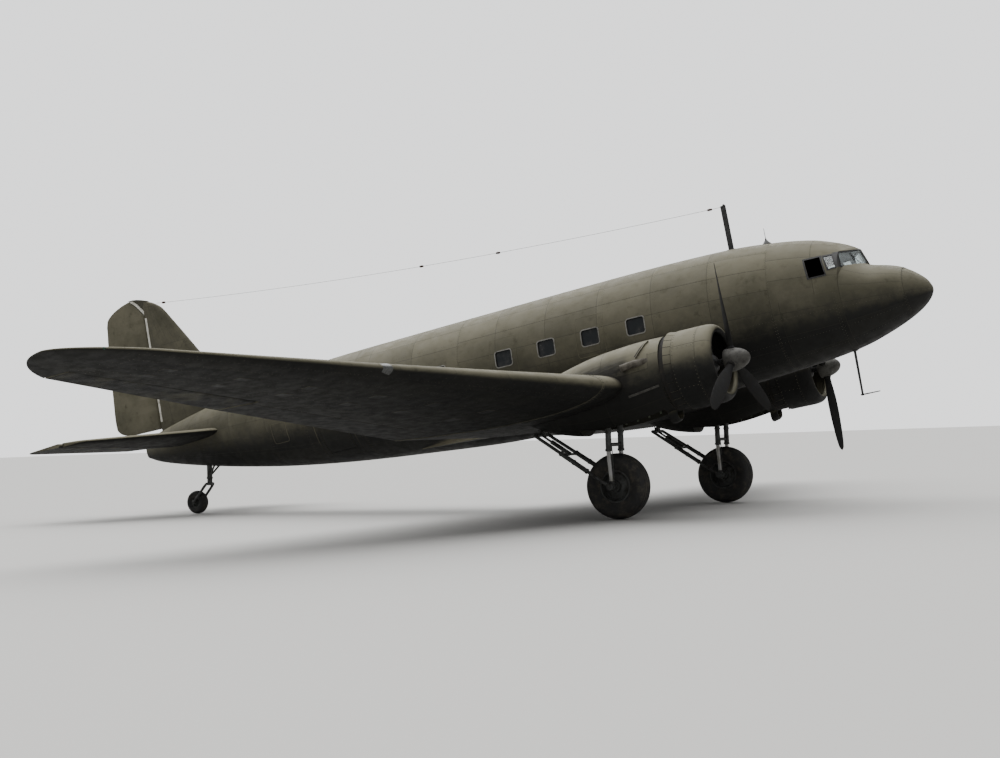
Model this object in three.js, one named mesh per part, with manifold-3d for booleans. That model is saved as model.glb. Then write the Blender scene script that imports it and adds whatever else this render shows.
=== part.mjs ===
// A twin-engined, low-wing transport monoplane of the 1930s, parked on two main wheels and a tail wheel.
// Units are millimetres. The airframe is drawn level: +X is forward, +Y is port and +Z is up, with the nose
// tip at the origin, so a place aft of the nose has the station -X. The whole airframe is then turned nose-up
// to its parked attitude, and set down with the tyres on Z = 0 and its box centred on the origin.
import * as THREE from "three";
import { mergeVertices } from "three/addons/utils/BufferGeometryUtils.js";
import Module from "manifold-3d";

const wasm = await Module();
wasm.setup();

// Driving dimensions
const GROUND_ANGLE = THREE.MathUtils.degToRad(9.34); // nose-up attitude on three wheels
const HALF_SPAN = 14130;
const TRACK_HALF = 2820; // nacelles, propellers and main wheels share this line
const THRUST_Z = -750;
const PROPELLER_RADIUS = 1750;
const PROPELLER_STATION = 3050;
const COWL_RADIUS = 710;
const COWL_FRONT = 3200;
const COWL_REAR = 4150;
const MAIN_AXLE = { station: 5650, z: -2535, radius: 600, width: 430 };
const TAIL_AXLE = { station: 17620, radius: 270, width: 210 };
const COCKPIT_REAR = 2750;
const COCKPIT_FLOOR = -250;
const PANEL_STATION = 1350; // instrument panel
const WALL = 40; // cockpit and door wall thickness
const NOSE_CAP_REAR = 420;
const TAIL_CONE_FRONT = 17900;
const CENTRE_WING_HALF = 4270;
const SEAM = 0.4; // gap between pieces that touch
const CLEARANCE = 8; // gap round what moves
const END_GAP = 36; // gap at the ends of an aileron, whose hinge line slopes
const SIDES = [
  { name: "left", sign: 1 },
  { name: "right", sign: -1 },
];

// Paints
const finish = (color, roughness, metalness = 0) => ({ color, roughness, metalness });
const OLIVE = finish(0x4a4a38, 0.7);
const UNDERSIDE = finish(0x4c5560, 0.7);
const FABRIC = finish(0x4d4c3c, 0.85);
const GLASS = finish(0x9fb0b4, 0.1);
const RUBBER = finish(0x1c1c1c, 0.9);
const STEEL = finish(0x707274, 0.4, 0.8);
const BLACK = finish(0x202020, 0.6);
const LEATHER = finish(0x3d2c1e, 0.7);

// Solids and meshes
const at = (station, y, z) => new THREE.Vector3(-station, y, z);

function solidOf(geometry) {
  geometry.deleteAttribute("normal");
  geometry.deleteAttribute("uv");
  const merged = mergeVertices(geometry, 1e-3);
  const vertProperties = merged.attributes.position.array;
  const corner = (i) => new THREE.Vector3().fromArray(vertProperties, i * 3);
  const faces = [];
  let volume = 0;
  for (let i = 0; i < merged.index.count; i += 3) {
    const [a, b, c] = merged.index.array.subarray(i, i + 3);
    if (a === b || b === c || a === c) continue; // at the point of a cone or dome
    faces.push([a, b, c]);
    volume += corner(a).dot(corner(b).cross(corner(c)));
  }
  const triVerts = new Uint32Array(faces.flatMap(([a, b, c]) => (volume < 0 ? [a, c, b] : [a, b, c])));
  return new wasm.Manifold(new wasm.Mesh({ numProp: 3, vertProperties, triVerts }));
}

function meshOf(name, solid, look) {
  const { numVert, numProp, vertProperties, triVerts } = solid.getMesh();
  const position = new Float32Array(numVert * 3);
  for (let i = 0; i < numVert; i++) {
    position.set(vertProperties.subarray(i * numProp, i * numProp + 3), i * 3);
  }
  const geometry = new THREE.BufferGeometry();
  geometry.setAttribute("position", new THREE.BufferAttribute(position, 3));
  geometry.setIndex(new THREE.BufferAttribute(triVerts, 1));
  geometry.computeVertexNormals();
  const mesh = new THREE.Mesh(geometry, new THREE.MeshStandardMaterial(look));
  mesh.name = name;
  return mesh;
}

// A closed body through rings of as many points each. The flat end caps are drawn in the plane of two axes.
function loft(rings, capAxes) {
  const count = rings[0].length;
  const points = rings.flat();
  const faces = [];
  for (let r = 0; r + 1 < rings.length; r++) {
    for (let i = 0; i < count; i++) {
      const a = r * count + i;
      const b = r * count + ((i + 1) % count);
      faces.push([a, b, b + count], [a, b + count, a + count]);
    }
  }
  const [u, v] = capAxes;
  const cap = (ring) =>
    THREE.ShapeUtils.triangulateShape(ring.map((p) => new THREE.Vector2(p[u], p[v])), []);
  const front = cap(rings[0]);
  const turned = signedArea(rings[0], u, v) > 0;
  const last = (rings.length - 1) * count;
  for (const [a, b, c] of front) faces.push(turned ? [a, c, b] : [a, b, c]);
  for (const [a, b, c] of cap(rings.at(-1))) {
    faces.push(turned ? [last + a, last + b, last + c] : [last + a, last + c, last + b]);
  }
  return solidFromFaces(points, faces);
}

function signedArea(ring, u, v) {
  let sum = 0;
  ring.forEach((p, i) => {
    const q = ring[(i + 1) % ring.length];
    sum += p[u] * q[v] - q[u] * p[v];
  });
  return sum / 2;
}

function solidFromFaces(points, faces) {
  const geometry = new THREE.BufferGeometry().setFromPoints(points);
  geometry.setIndex(faces.flat());
  return solidOf(geometry);
}

// Prisms between two planes across one axis
const prismAcrossY = (outline, y0, y1) =>
  loft([y0, y1].map((y) => outline.map(([station, z]) => at(station, y, z))), ["x", "z"]);
const prismAcrossX = (outline, s0, s1) =>
  loft([s0, s1].map((s) => outline.map(([y, z]) => at(s, y, z))), ["y", "z"]);
const prismAcrossZ = (outline, z0, z1) =>
  loft([z0, z1].map((z) => outline.map(([station, y]) => at(station, y, z))), ["x", "y"]);
const block = (s0, s1, y0, y1, z0, z1) =>
  prismAcrossX([[y0, z0], [y1, z0], [y1, z1], [y0, z1]], s0, s1);

// A round rod between two points
function rod(from, to, radius, endRadius = radius, sides = 10) {
  const along = new THREE.Vector3().subVectors(to, from);
  const geometry = new THREE.CylinderGeometry(endRadius, radius, along.length(), sides);
  geometry.translate(0, along.length() / 2, 0);
  const up = new THREE.Vector3(0, 1, 0);
  geometry.applyQuaternion(new THREE.Quaternion().setFromUnitVectors(up, along.normalize()));
  geometry.translate(from.x, from.y, from.z);
  return solidOf(geometry);
}

// A profile of [radius, distance] points turned about the line through centre along the direction
function turnedAbout(profile, centre, direction, sides) {
  const outline = profile.map(([radius, distance]) => new THREE.Vector2(radius, distance));
  const geometry = new THREE.LatheGeometry(outline, sides);
  const up = new THREE.Vector3(0, 1, 0);
  geometry.applyQuaternion(new THREE.Quaternion().setFromUnitVectors(up, direction));
  geometry.translate(centre.x, centre.y, centre.z);
  return solidOf(geometry);
}

const joined = (solids) => solids.reduce((whole, solid) => whole.add(solid));
const FORWARD = new THREE.Vector3(1, 0, 0);
const PORT = new THREE.Vector3(0, 1, 0);

// Smooth values between the rows of a table whose first column is the station
function rowAt(table, place) {
  const last = table.length - 1;
  let k = table.findIndex((row) => row[0] >= place);
  if (k < 0) k = last;
  if (k === 0) return table[0];
  const [p0, p1, p2, p3] = [k - 2, k - 1, k, k + 1].map((i) => table[Math.min(Math.max(i, 0), last)]);
  const t = (place - p1[0]) / (p2[0] - p1[0]);
  return p1.map((value, column) => {
    if (column === 0) return place;
    const slope = (a, b, i) => (b[0] === a[0] ? 0 : ((b[i] - a[i]) / (b[0] - a[0])) * (p2[0] - p1[0]));
    const m1 = slope(p0, p2, column);
    const m2 = slope(p1, p3, column);
    const [t2, t3] = [t * t, t * t * t];
    return (
      (2 * t3 - 3 * t2 + 1) * value + (t3 - 2 * t2 + t) * m1 + (3 * t2 - 2 * t3) * p2[column] + (t3 - t2) * m2
    );
  });
}

// Fuselage sections: station, roof, belly, half width, height of the widest line
const HULL = [
  [8, 65, -60, 72, 5],
  [70, 184, -152, 212, 25],
  [180, 305, -258, 336, 55],
  [350, 442, -368, 456, 90],
  [600, 575, -488, 578, 124],
  [950, 700, -620, 702, 158],
  [1400, 1180, -753, 830, 190],
  [1960, 1400, -850, 930, 230],
  [2750, 1550, -934, 1030, 270],
  [3400, 1625, -988, 1090, 290],
  [4400, 1662, -1050, 1170, 310],
  [5600, 1674, -1100, 1220, 320],
  [7200, 1662, -1115, 1240, 320],
  [9000, 1640, -1110, 1235, 320],
  [11000, 1612, -970, 1180, 345],
  [13000, 1575, -790, 1050, 400],
  [14600, 1480, -590, 880, 450],
  [15900, 1350, -370, 690, 500],
  [17000, 1190, -150, 500, 530],
  [17900, 1030, 60, 330, 545],
  [18500, 900, 230, 200, 560],
  [18850, 780, 380, 90, 575],
];
// The nose deck runs on under the windscreen, and the roof starts as a brow above it.
const DECK = [[0, 65], [350, 442], [600, 575], [950, 675], [1150, 790], [1400, 970], [1650, 1130],
  [2000, 1330], [2900, 1450]];
const BROW = [[600, 520], [880, 660], [1000, 820], [1110, 965], [1240, 1085], [1400, 1185], [1670, 1305],
  [1960, 1405], [2400, 1500], [2750, 1553], [2900, 1568]];
const HULL_SIDES = 32;
const HULL_POWER = 2.15; // 2 is an ellipse

function hullRing(station, inset = 0, roof = null) {
  const [, top, bottom, halfWidth, widest] = rowAt(HULL, station);
  const rise = (roof ? rowAt(roof, station)[1] : top) - widest - inset;
  const drop = widest - bottom - inset;
  const ring = [];
  for (let i = 0; i < HULL_SIDES; i++) {
    const angle = ((i + 0.5) / HULL_SIDES) * 2 * Math.PI;
    const [c, s] = [Math.cos(angle), Math.sin(angle)];
    const y = Math.sign(c) * (halfWidth - inset) * Math.abs(c) ** (2 / HULL_POWER);
    const z = widest + Math.sign(s) * (s > 0 ? rise : drop) * Math.abs(s) ** (2 / HULL_POWER);
    ring.push(at(station, y, z));
  }
  return ring;
}
const hullLoft = (stations, inset = 0, roof = null) =>
  loft(stations.map((station) => hullRing(station, inset, roof)), ["y", "z"]);

// Windscreen: two flat panes that meet at the centre post. A place in front of them has
// station < WINDSCREEN.station + sweep * |y| + rake * (z - WINDSCREEN.z).
const WINDSCREEN = { station: 970, z: 750, sweep: 0.66, rake: 0.536, low: 690, high: 1900, wide: 1300 };
function behindWindscreen(inset, bottom) {
  const { station, z: middle, sweep, rake, low, high, wide } = WINDSCREEN;
  const rear = COCKPIT_REAR + 200;
  const edge = (y, z) => station + inset + sweep * Math.abs(y) + rake * (Math.max(z, low) - middle);
  const ring = (z) => [at(edge(0, z), 0, z), at(edge(wide, z), wide, z), at(rear, wide, z),
    at(rear, -wide, z), at(edge(wide, z), -wide, z)];
  return loft([bottom, low, high].filter((z, i) => i === 0 || z > bottom).map(ring), ["x", "y"]);
}

// Cockpit windows. Front panes are outlines in y and z, side panes in station and z, all for starboard.
const FRONT_PANE = [[45, 735], [45, 1000], [565, 980], [665, 715]];
const CORNER_PANE = [[1485, 708], [1545, 965], [1700, 965], [1615, 695]];
const SIDE_PANE = [[1680, 605], [1752, 975], [2045, 968], [1985, 600]];
const PANE_THICKNESS = 12;
const CABIN_LOW = 280; // under this height the cabin is the nose's own sides
const SLID_OPEN = { aft: 312, outward: 4.8 }; // the starboard side pane stands open, inside the wall
const inward = (outline, gap) => {
  const middle = outline.reduce(([a, b], [c, d]) => [a + c / outline.length, b + d / outline.length], [0, 0]);
  return outline.map((point) => point.map((v, i) => v + Math.sign(middle[i] - v) * gap));
};

function cockpit() {
  const deckStations = [NOSE_CAP_REAR + SEAM, 500, 600, 700, 820, 950, 1100, 1250, 1400, 1680, 1960, 2350,
    COCKPIT_REAR];
  const roofStations = [880, 940, 1000, 1060, 1110, 1170, 1240, 1320, 1400, 1530, 1680, 1820, 1960, 2350,
    COCKPIT_REAR];
  const nose = hullLoft(deckStations, 0, DECK);
  const cabin = (inset, post) =>
    hullLoft(roofStations, inset, BROW).intersect(behindWindscreen(post, CABIN_LOW));
  const outside = nose.add(cabin(0, 0));
  const room = hullLoft([900, 1000, 1110, 1240, 1400, 1680, 1960, 2350, COCKPIT_REAR + 10], WALL, BROW);
  const wide = WINDSCREEN.wide;
  const aboveSill = behindWindscreen(WALL * 1.2, WINDSCREEN.low);
  const belowSill = block(PANEL_STATION, COCKPIT_REAR + 200, -wide, wide, COCKPIT_FLOOR, WINDSCREEN.low + 1);
  const hollow = room.intersect(aboveSill.add(belowSill));
  const mirrored = (outline) => outline.map(([y, z]) => [-y, z]);
  const openings = [];
  const layer = cabin(0, 0).subtract(cabin(PANE_THICKNESS, PANE_THICKNESS * 1.2));
  const panes = {};
  for (const { name, sign } of SIDES) {
    const front = sign > 0 ? FRONT_PANE : mirrored(FRONT_PANE);
    openings.push(prismAcrossX(front, 700, 1650));
    panes[`windscreen_${name}`] = prismAcrossX(inward(front, SEAM), 700, 1650);
    for (const [kind, outline] of [["corner", CORNER_PANE], ["side", SIDE_PANE]]) {
      openings.push(prismAcrossY(outline, sign * 400, sign * 1200));
      panes[`${kind}_window_${name}`] = prismAcrossY(inward(outline, SEAM), sign * 400, sign * 1200);
    }
  }
  const shell = outside.subtract(hollow).subtract(joined(openings));
  const glazing = Object.entries(panes).map(([name, prism]) => {
    const pane = layer.intersect(prism);
    const open = name === "side_window_right";
    return [name, open ? pane.translate([-SLID_OPEN.aft, -SLID_OPEN.outward, 0]) : pane];
  });
  return { shell, glazing };
}

// Wing planform and section
const WING = { leading: 4930, trailing: 9270, leadingZ: -815, incidence: 0.035, sweep: 0.272, taper: 0.025,
  dihedral: 0.096, tipStart: 12700, tipMiddle: 0.34, rootThickness: 0.15, tipThickness: 0.07, camber: 0.01,
  edge: 4 };
const SECTION_POINTS = 13;

function wingEdges(y) {
  const out = Math.max(0, y - CENTRE_WING_HALF);
  let leading = WING.leading + WING.sweep * out;
  let trailing = WING.trailing - WING.taper * out;
  if (y > WING.tipStart) {
    const t = Math.min((y - WING.tipStart) / (HALF_SPAN - WING.tipStart), 0.999);
    const shrink = 1 - Math.sqrt(1 - t * t);
    const chord = trailing - leading;
    leading += chord * WING.tipMiddle * shrink;
    trailing -= chord * (1 - WING.tipMiddle) * shrink;
  }
  const share = out / (HALF_SPAN - CENTRE_WING_HALF);
  const thickness = WING.rootThickness + (WING.tipThickness - WING.rootThickness) * share;
  return { leading, trailing, thickness, z: WING.leadingZ + WING.dihedral * out };
}

// Height of the upper (side 1) or lower (side -1) skin at a share of the chord
function skinHeight(y, share, side) {
  const { leading, trailing, thickness, z } = wingEdges(y);
  const chord = trailing - leading;
  const half = 5 * thickness * (0.2969 * Math.sqrt(share) - 0.126 * share - 0.3516 * share ** 2 +
    0.2843 * share ** 3 - 0.1036 * share ** 4);
  const crest = 0.4;
  const mean = share < crest
    ? (WING.camber / crest ** 2) * (2 * crest * share - share ** 2)
    : (WING.camber / (1 - crest) ** 2) * (1 - 2 * crest + 2 * crest * share - share ** 2);
  return z - WING.incidence * share * chord + chord * mean + side * (chord * half + WING.edge);
}

function wingRing(y, grow = 0) {
  const { leading, trailing } = wingEdges(Math.abs(y));
  const turn = (i) => (i / (SECTION_POINTS - 1)) * Math.PI;
  const shares = Array.from({ length: SECTION_POINTS }, (_, i) => (1 - Math.cos(turn(i))) / 2);
  const point = (share, side) => {
    const aft = share === 0 ? -grow : share === 1 ? grow : 0;
    const skin = skinHeight(Math.abs(y), share, side) + side * grow;
    return at(leading + share * (trailing - leading) + aft, y, skin);
  };
  const upper = shares.slice().reverse().map((share) => point(share, 1));
  const lower = shares.map((share) => point(share, -1));
  return [...upper, ...lower];
}
const wingLoft = (places, grow = 0) => loft(places.map((y) => wingRing(y, grow)), ["x", "z"]);

// Control surfaces have a round nose on the hinge line and taper to the trailing edge.
// Each section gives the hinge point, the trailing edge point, the nose radius and the way across the skin.
function surfaceRing({ hinge, edge, radius, across, tip = 4 }) {
  const along = new THREE.Vector3().subVectors(edge, hinge).normalize();
  const square = across.clone().addScaledVector(along, -across.dot(along)).normalize();
  const ring = [];
  for (let i = 0; i <= 6; i++) {
    const angle = Math.PI * (i / 6 - 0.5);
    const side = hinge.clone().addScaledVector(square, radius * Math.sin(angle));
    ring.push(side.addScaledVector(along, -radius * Math.cos(angle)));
  }
  ring.push(edge.clone().addScaledVector(across, tip), edge.clone().addScaledVector(across, -tip));
  return ring;
}

// A hinge bracket on the fixed surface stops just short of the moving surface's nose.
function hingeBracket(hinge, radius, gap, across, width = 40, height = 24) {
  const side = new THREE.Vector3().crossVectors(FORWARD, across);
  const corner = (along, w, h) =>
    hinge.clone().addScaledVector(FORWARD, along).addScaledVector(side, w / 2).addScaledVector(across, h / 2);
  const ring = (along) =>
    [[-1, -1], [1, -1], [1, 1], [-1, 1]].map(([w, h]) => corner(along, w * width, h * height));
  return loftAlong([ring(radius + 2 * SEAM), ring(radius + gap + 25)]);
}

// A hinge pin runs on from the end of a moving surface along its hinge line.
function hingePins(from, to, length, radius) {
  const along = new THREE.Vector3().subVectors(to, from).normalize();
  const off = (end, distance) => end.clone().addScaledVector(along, distance);
  const pin = (end, way) => rod(off(end, -14 * way), off(end, length * way), radius, radius, 9);
  return [pin(from, -1), pin(to, 1)];
}

// Ailerons and split flaps lie between these places along the span.
const AILERON = { inner: 9500, outer: 13250, chordShare: 0.27 };
const FLAP_SPANS = { inner: [1330, 4230], outer: [4310, 9440] };
const FLAP = { hingeShare: 0.77, rearShare: 0.975, hingeDepth: 24, rearDepth: 9 };

function aileronSection(y) {
  const { leading, trailing } = wingEdges(y);
  const share = 1 - AILERON.chordShare;
  const [top, bottom] = [1, -1].map((side) => skinHeight(y, share, side));
  const [endTop, endBottom] = [1, -1].map((side) => skinHeight(y, 1, side));
  return { station: leading + share * (trailing - leading), z: (top + bottom) / 2, radius: (top - bottom) / 2,
    trailing, trailingZ: (endTop + endBottom) / 2 };
}

// The hinge line is straight between the two end sections.
function aileronAt(y) {
  const [a, b] = [AILERON.inner, AILERON.outer].map(aileronSection);
  const t = (y - AILERON.inner) / (AILERON.outer - AILERON.inner);
  return Object.fromEntries(Object.keys(a).map((key) => [key, a[key] + (b[key] - a[key]) * t]));
}

function aileron(sign) {
  const up = new THREE.Vector3(0, 0, 1);
  const rings = [AILERON.inner + END_GAP, AILERON.outer - END_GAP].map((y) => {
    const { station, z, radius, trailing, trailingZ } = aileronAt(y);
    return surfaceRing({ hinge: at(station, sign * y, z), edge: at(trailing, sign * y, trailingZ), radius,
      across: up, tip: WING.edge });
  });
  return loft(rings, ["x", "z"]);
}

function aileronBay(sign) {
  const [a, b] = [AILERON.inner, AILERON.outer].map(aileronSection);
  const front = (section) => section.station - section.radius - CLEARANCE;
  const rear = WING.trailing + 200;
  return prismAcrossZ([[front(a), sign * AILERON.inner], [front(b), sign * AILERON.outer],
    [rear, sign * AILERON.outer], [rear, sign * AILERON.inner]], -1500, 1500);
}

const AILERON_BRACKETS = [9900, 11400, 12900];
const aileronBrackets = (sign) => AILERON_BRACKETS.map((y) => {
  const { station, z } = aileronAt(y);
  const { radius } = aileronAt(y - 20);
  return hingeBracket(at(station, sign * y, z), radius + 2 * SEAM, CLEARANCE, new THREE.Vector3(0, 0, 1));
});

// A split flap is a tapered plate flush with the lower skin. grow widens it all round for its recess.
function flap(span, sign, grow = 0) {
  const ring = (y) => {
    const { leading, trailing } = wingEdges(y);
    const chord = trailing - leading;
    const point = (share, inner) => {
      const depth = FLAP.hingeDepth + (FLAP.rearDepth - FLAP.hingeDepth) *
        ((share - FLAP.hingeShare) / (FLAP.rearShare - FLAP.hingeShare));
      const aft = share === FLAP.hingeShare ? -grow : share === FLAP.rearShare ? grow : 0;
      const z = skinHeight(y, share, -1) + (inner ? depth + grow * 0.6 : -grow * 4);
      return at(leading + share * chord + aft, sign * y, z);
    };
    const middle = (FLAP.hingeShare + FLAP.rearShare) / 2;
    const shares = [FLAP.hingeShare, middle, FLAP.rearShare];
    const skin = shares.map((share) => point(share, false));
    return [...skin, ...shares.reverse().map((share) => point(share, true))];
  };
  const [inner, outer] = span;
  const plate = loft([ring(inner - grow), ring(outer + grow)], ["x", "z"]);
  if (grow) return plate;
  return joined([plate, ...hingePins(ring(inner)[0], ring(outer)[0], CLEARANCE - 0.9, 7)]);
}

// Nacelles: station, top, bottom, half width
const NACELLE = [
  [COWL_REAR + 30, -75, -1425, 672],
  [4600, -45, -1500, 690],
  [5100, -50, -1560, 680],
  [5600, -90, -1580, 640],
  [6100, -200, -1530, 560],
  [6600, -350, -1400, 440],
  [7000, -490, -1230, 300],
  [7200, -570, -1120, 190],
];
const NACELLE_SIDES = 28;
const WHEEL_WELL = { front: 4350, rear: 6050, half: 350, top: -1010 };
const GEAR_PIVOT = { station: 5480, z: -1210 };
const BRACE_TOP = { station: 7000, z: -1330 };

function nacelle(sign, wing) {
  const centre = sign * TRACK_HALF;
  const rings = NACELLE.map(([station, top, bottom, half]) => {
    const [middle, height] = [(top + bottom) / 2, (top - bottom) / 2];
    return Array.from({ length: NACELLE_SIDES }, (_, i) => {
      const angle = ((i + 0.5) / NACELLE_SIDES) * 2 * Math.PI;
      const [c, s] = [Math.cos(angle), Math.sin(angle)].map((v) => Math.sign(v) * Math.abs(v) ** 0.9);
      return at(station, centre + half * c, middle + height * s);
    });
  });
  const { front, rear, half, top } = WHEEL_WELL;
  const well = prismAcrossY([[front, top], [front, -1800], [rear, -1800], [rear, -1250], [rear - 250, top]],
    centre - half, centre + half);
  return loft(rings, ["y", "z"]).subtract(well).subtract(wing);
}

// Cowl ring and nine-cylinder engine
function cowl(sign) {
  const centre = at(0, sign * TRACK_HALF, THRUST_Z);
  const r = COWL_RADIUS;
  const place = (radius, station) => [radius, -station];
  const profile = [place(r - 175, COWL_FRONT + 60), place(r - 150, COWL_FRONT + 12),
    place(r - 110, COWL_FRONT), place(r - 55, COWL_FRONT + 30), place(r - 15, COWL_FRONT + 110),
    place(r, COWL_FRONT + 240), place(r, COWL_REAR - 260), place(r - 25, COWL_REAR), place(r - 40, COWL_REAR),
    place(r - 28, COWL_REAR - 260), place(r - 28, COWL_FRONT + 250), place(r - 60, COWL_FRONT + 130),
    place(r - 150, COWL_FRONT + 90)];
  const closed = [...profile, profile[0]].reverse();
  return turnedAbout(closed, centre, FORWARD, 36);
}

const ENGINE = { cylinders: 9, front: 3330, row: 3640, rear: COWL_REAR + 30 - SEAM, caseRadius: 260,
  headRadius: 673.2 };
function engine(sign) {
  const centre = at(0, sign * TRACK_HALF, THRUST_Z);
  const shaftEnd = PROPELLER_STATION + 120 + 2 * SEAM;
  const { front, row, rear, caseRadius } = ENGINE;
  const crankcase = [[0, -shaftEnd], [60, -shaftEnd], [60, -front], [110, -front], [200, -front - 130],
    [caseRadius, -row + 120], [caseRadius, -row - 170], [430, -3900], [600, -3960], [600, -rear], [0, -rear]];
  const parts = [turnedAbout(crankcase.slice().reverse(), centre, FORWARD, 18)];
  for (let i = 0; i < ENGINE.cylinders; i++) {
    const angle = (i / ENGINE.cylinders) * 2 * Math.PI + Math.PI / 2;
    const out = new THREE.Vector3(0, Math.cos(angle), Math.sin(angle));
    const base = at(ENGINE.row, sign * TRACK_HALF, THRUST_Z);
    const pick = (radius) => base.clone().addScaledVector(out, radius);
    parts.push(rod(pick(180), pick(460), 92, 92, 8), rod(pick(440), pick(ENGINE.headRadius), 108, 96, 8));
  }
  return joined(parts);
}

// Propeller: three twisted blades on a hub with a rounded spinner. PROPELLER_TURN is the first blade's angle
// from straight up.
const BLADE = [ // radius, chord, thickness, pitch in degrees
  [150, 110, 100, 55],
  [380, 150, 70, 48],
  [700, 230, 40, 36],
  [1100, 260, 26, 27],
  [1500, 225, 18, 21],
  [1690, 150, 12, 19],
  [PROPELLER_RADIUS, 60, 8, 18],
];
const PROPELLER_TURN = { left: Math.PI, right: 0 };

function propeller(name, sign) {
  const hub = at(PROPELLER_STATION, sign * TRACK_HALF, THRUST_Z);
  const profile = [[0, 320], [60, 305], [115, 260], [165, 180], [200, 70], [210, -60], [205, -120],
    [0, -120]];
  const parts = [turnedAbout(profile.slice().reverse(), hub, FORWARD, 20)];
  for (let i = 0; i < 3; i++) {
    const angle = PROPELLER_TURN[name] + (i * 2 * Math.PI) / 3;
    const out = new THREE.Vector3(0, Math.sin(angle), Math.cos(angle));
    const across = new THREE.Vector3().crossVectors(FORWARD, out);
    const rings = BLADE.map(([radius, chord, thickness, pitch]) => {
      const turn = THREE.MathUtils.degToRad(pitch);
      const wide = across.clone().multiplyScalar(Math.cos(turn)).addScaledVector(FORWARD, Math.sin(turn));
      const thick = new THREE.Vector3().crossVectors(out, wide);
      return Array.from({ length: 10 }, (_, k) => {
        const a = ((k + 0.5) / 10) * 2 * Math.PI;
        const middle = hub.clone().addScaledVector(out, radius);
        middle.addScaledVector(wide, (chord / 2) * Math.cos(a));
        return middle.addScaledVector(thick, (thickness / 2) * Math.sin(a));
      });
    });
    parts.push(loftAlong(rings));
  }
  return joined(parts);
}

// A loft whose caps are fans round their middles, for convex rings in any direction
function loftAlong(rings) {
  const count = rings[0].length;
  const points = rings.flat();
  const faces = [];
  for (let r = 0; r + 1 < rings.length; r++) {
    for (let i = 0; i < count; i++) {
      const a = r * count + i;
      const b = r * count + ((i + 1) % count);
      faces.push([a, b, b + count], [a, b + count, a + count]);
    }
  }
  const last = (rings.length - 1) * count;
  for (let i = 1; i + 1 < count; i++) faces.push([0, i + 1, i], [last, last + i, last + i + 1]);
  return solidFromFaces(points, faces);
}

// Wheels
function tyre(centre, radius, width, hubRadius, sides = 40) {
  const h = width / 2;
  const profile = [];
  for (let i = 0; i <= 8; i++) {
    const angle = Math.PI * (i / 8) - Math.PI / 2;
    const depth = (radius - hubRadius) / 2;
    profile.push([hubRadius + depth + depth * Math.cos(angle) ** 0.8, h * Math.sin(angle)]);
  }
  profile.push([hubRadius, h * 0.72], [hubRadius, -h * 0.72]);
  profile.push(profile[0]);
  return turnedAbout(profile, centre, PORT, sides);
}

function wheelHub(centre, radius, width, bore) {
  const h = width / 2;
  const rim = radius - SEAM;
  const profile = [[bore, -h], [bore * 2.2, -h], [bore * 2.4, -h * 0.55], [radius * 0.8, -h * 0.3],
    [radius - 26, -h * 0.8], [rim, -h * 0.8], [rim, h * 0.8], [radius - 26, h * 0.8], [radius * 0.8, h * 0.3],
    [bore * 2.4, h * 0.55], [bore * 2.2, h], [bore, h], [bore, -h]];
  return turnedAbout(profile, centre, PORT, 20);
}

// Main gear: a twin leg with the axle between its feet, and a twin drag brace behind it
const BRACE = { radius: 32, topHalf: 300 };
const LEG = { spread: 275, radius: 55, lowerRadius: 42, axleRadius: 45 };
function gearLeg(sign) {
  const { station, z } = MAIN_AXLE;
  const centre = sign * TRACK_HALF;
  const parts = [];
  const knee = { station: station - 60, z: z + 640 };
  for (const side of [-1, 1]) {
    const y = centre + side * LEG.spread;
    parts.push(rod(at(GEAR_PIVOT.station, y, GEAR_PIVOT.z), at(knee.station, y, knee.z), LEG.radius));
    parts.push(rod(at(knee.station, y, knee.z + 40), at(station, y, z), LEG.lowerRadius));
    parts.push(rod(at(station, y - 60, z), at(station, y + 60, z), 75, 75, 16));
  }
  const span = (s, h, radius) =>
    rod(at(s, centre - LEG.spread - 10, h), at(s, centre + LEG.spread + 10, h), radius);
  const reach = WHEEL_WELL.half - SEAM;
  const pivot = (y) => at(GEAR_PIVOT.station, y, GEAR_PIVOT.z);
  parts.push(rod(pivot(centre - reach), pivot(centre + reach), 50));
  parts.push(span(knee.station, knee.z + 120, 34), span(station, z, LEG.axleRadius));
  return joined(parts);
}

function dragBrace(sign, nacelleBody) {
  const { station, z } = MAIN_AXLE;
  const centre = sign * TRACK_HALF;
  const footY = LEG.spread + 60 + SEAM;
  const parts = [];
  for (const side of [-1, 1]) {
    const out = (reach) => centre + side * reach;
    parts.push(rod(at(station, out(footY), z), at(station, out(footY + 66), z), 62, 62, 16));
    const top = at(BRACE_TOP.station, out(BRACE.topHalf), BRACE_TOP.z);
    parts.push(rod(at(station, out(footY + 34), z), top, BRACE.radius));
  }
  for (const [share, radius] of [[0.62, 22], [1, 34]]) {
    const reach = footY + 34 + share * (BRACE.topHalf - footY - 34);
    const s = station + share * (BRACE_TOP.station - station);
    const h = z + share * (BRACE_TOP.z - z);
    parts.push(rod(at(s, centre - reach, h), at(s, centre + reach, h), radius));
  }
  const lug = block(BRACE_TOP.station - 50, BRACE_TOP.station + 40, centre - 60, centre + 60,
    BRACE_TOP.z, BRACE_TOP.z + 130);
  parts.push(lug.subtract(nacelleBody.translate([0, 0, -SEAM])));
  return joined(parts);
}

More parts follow.
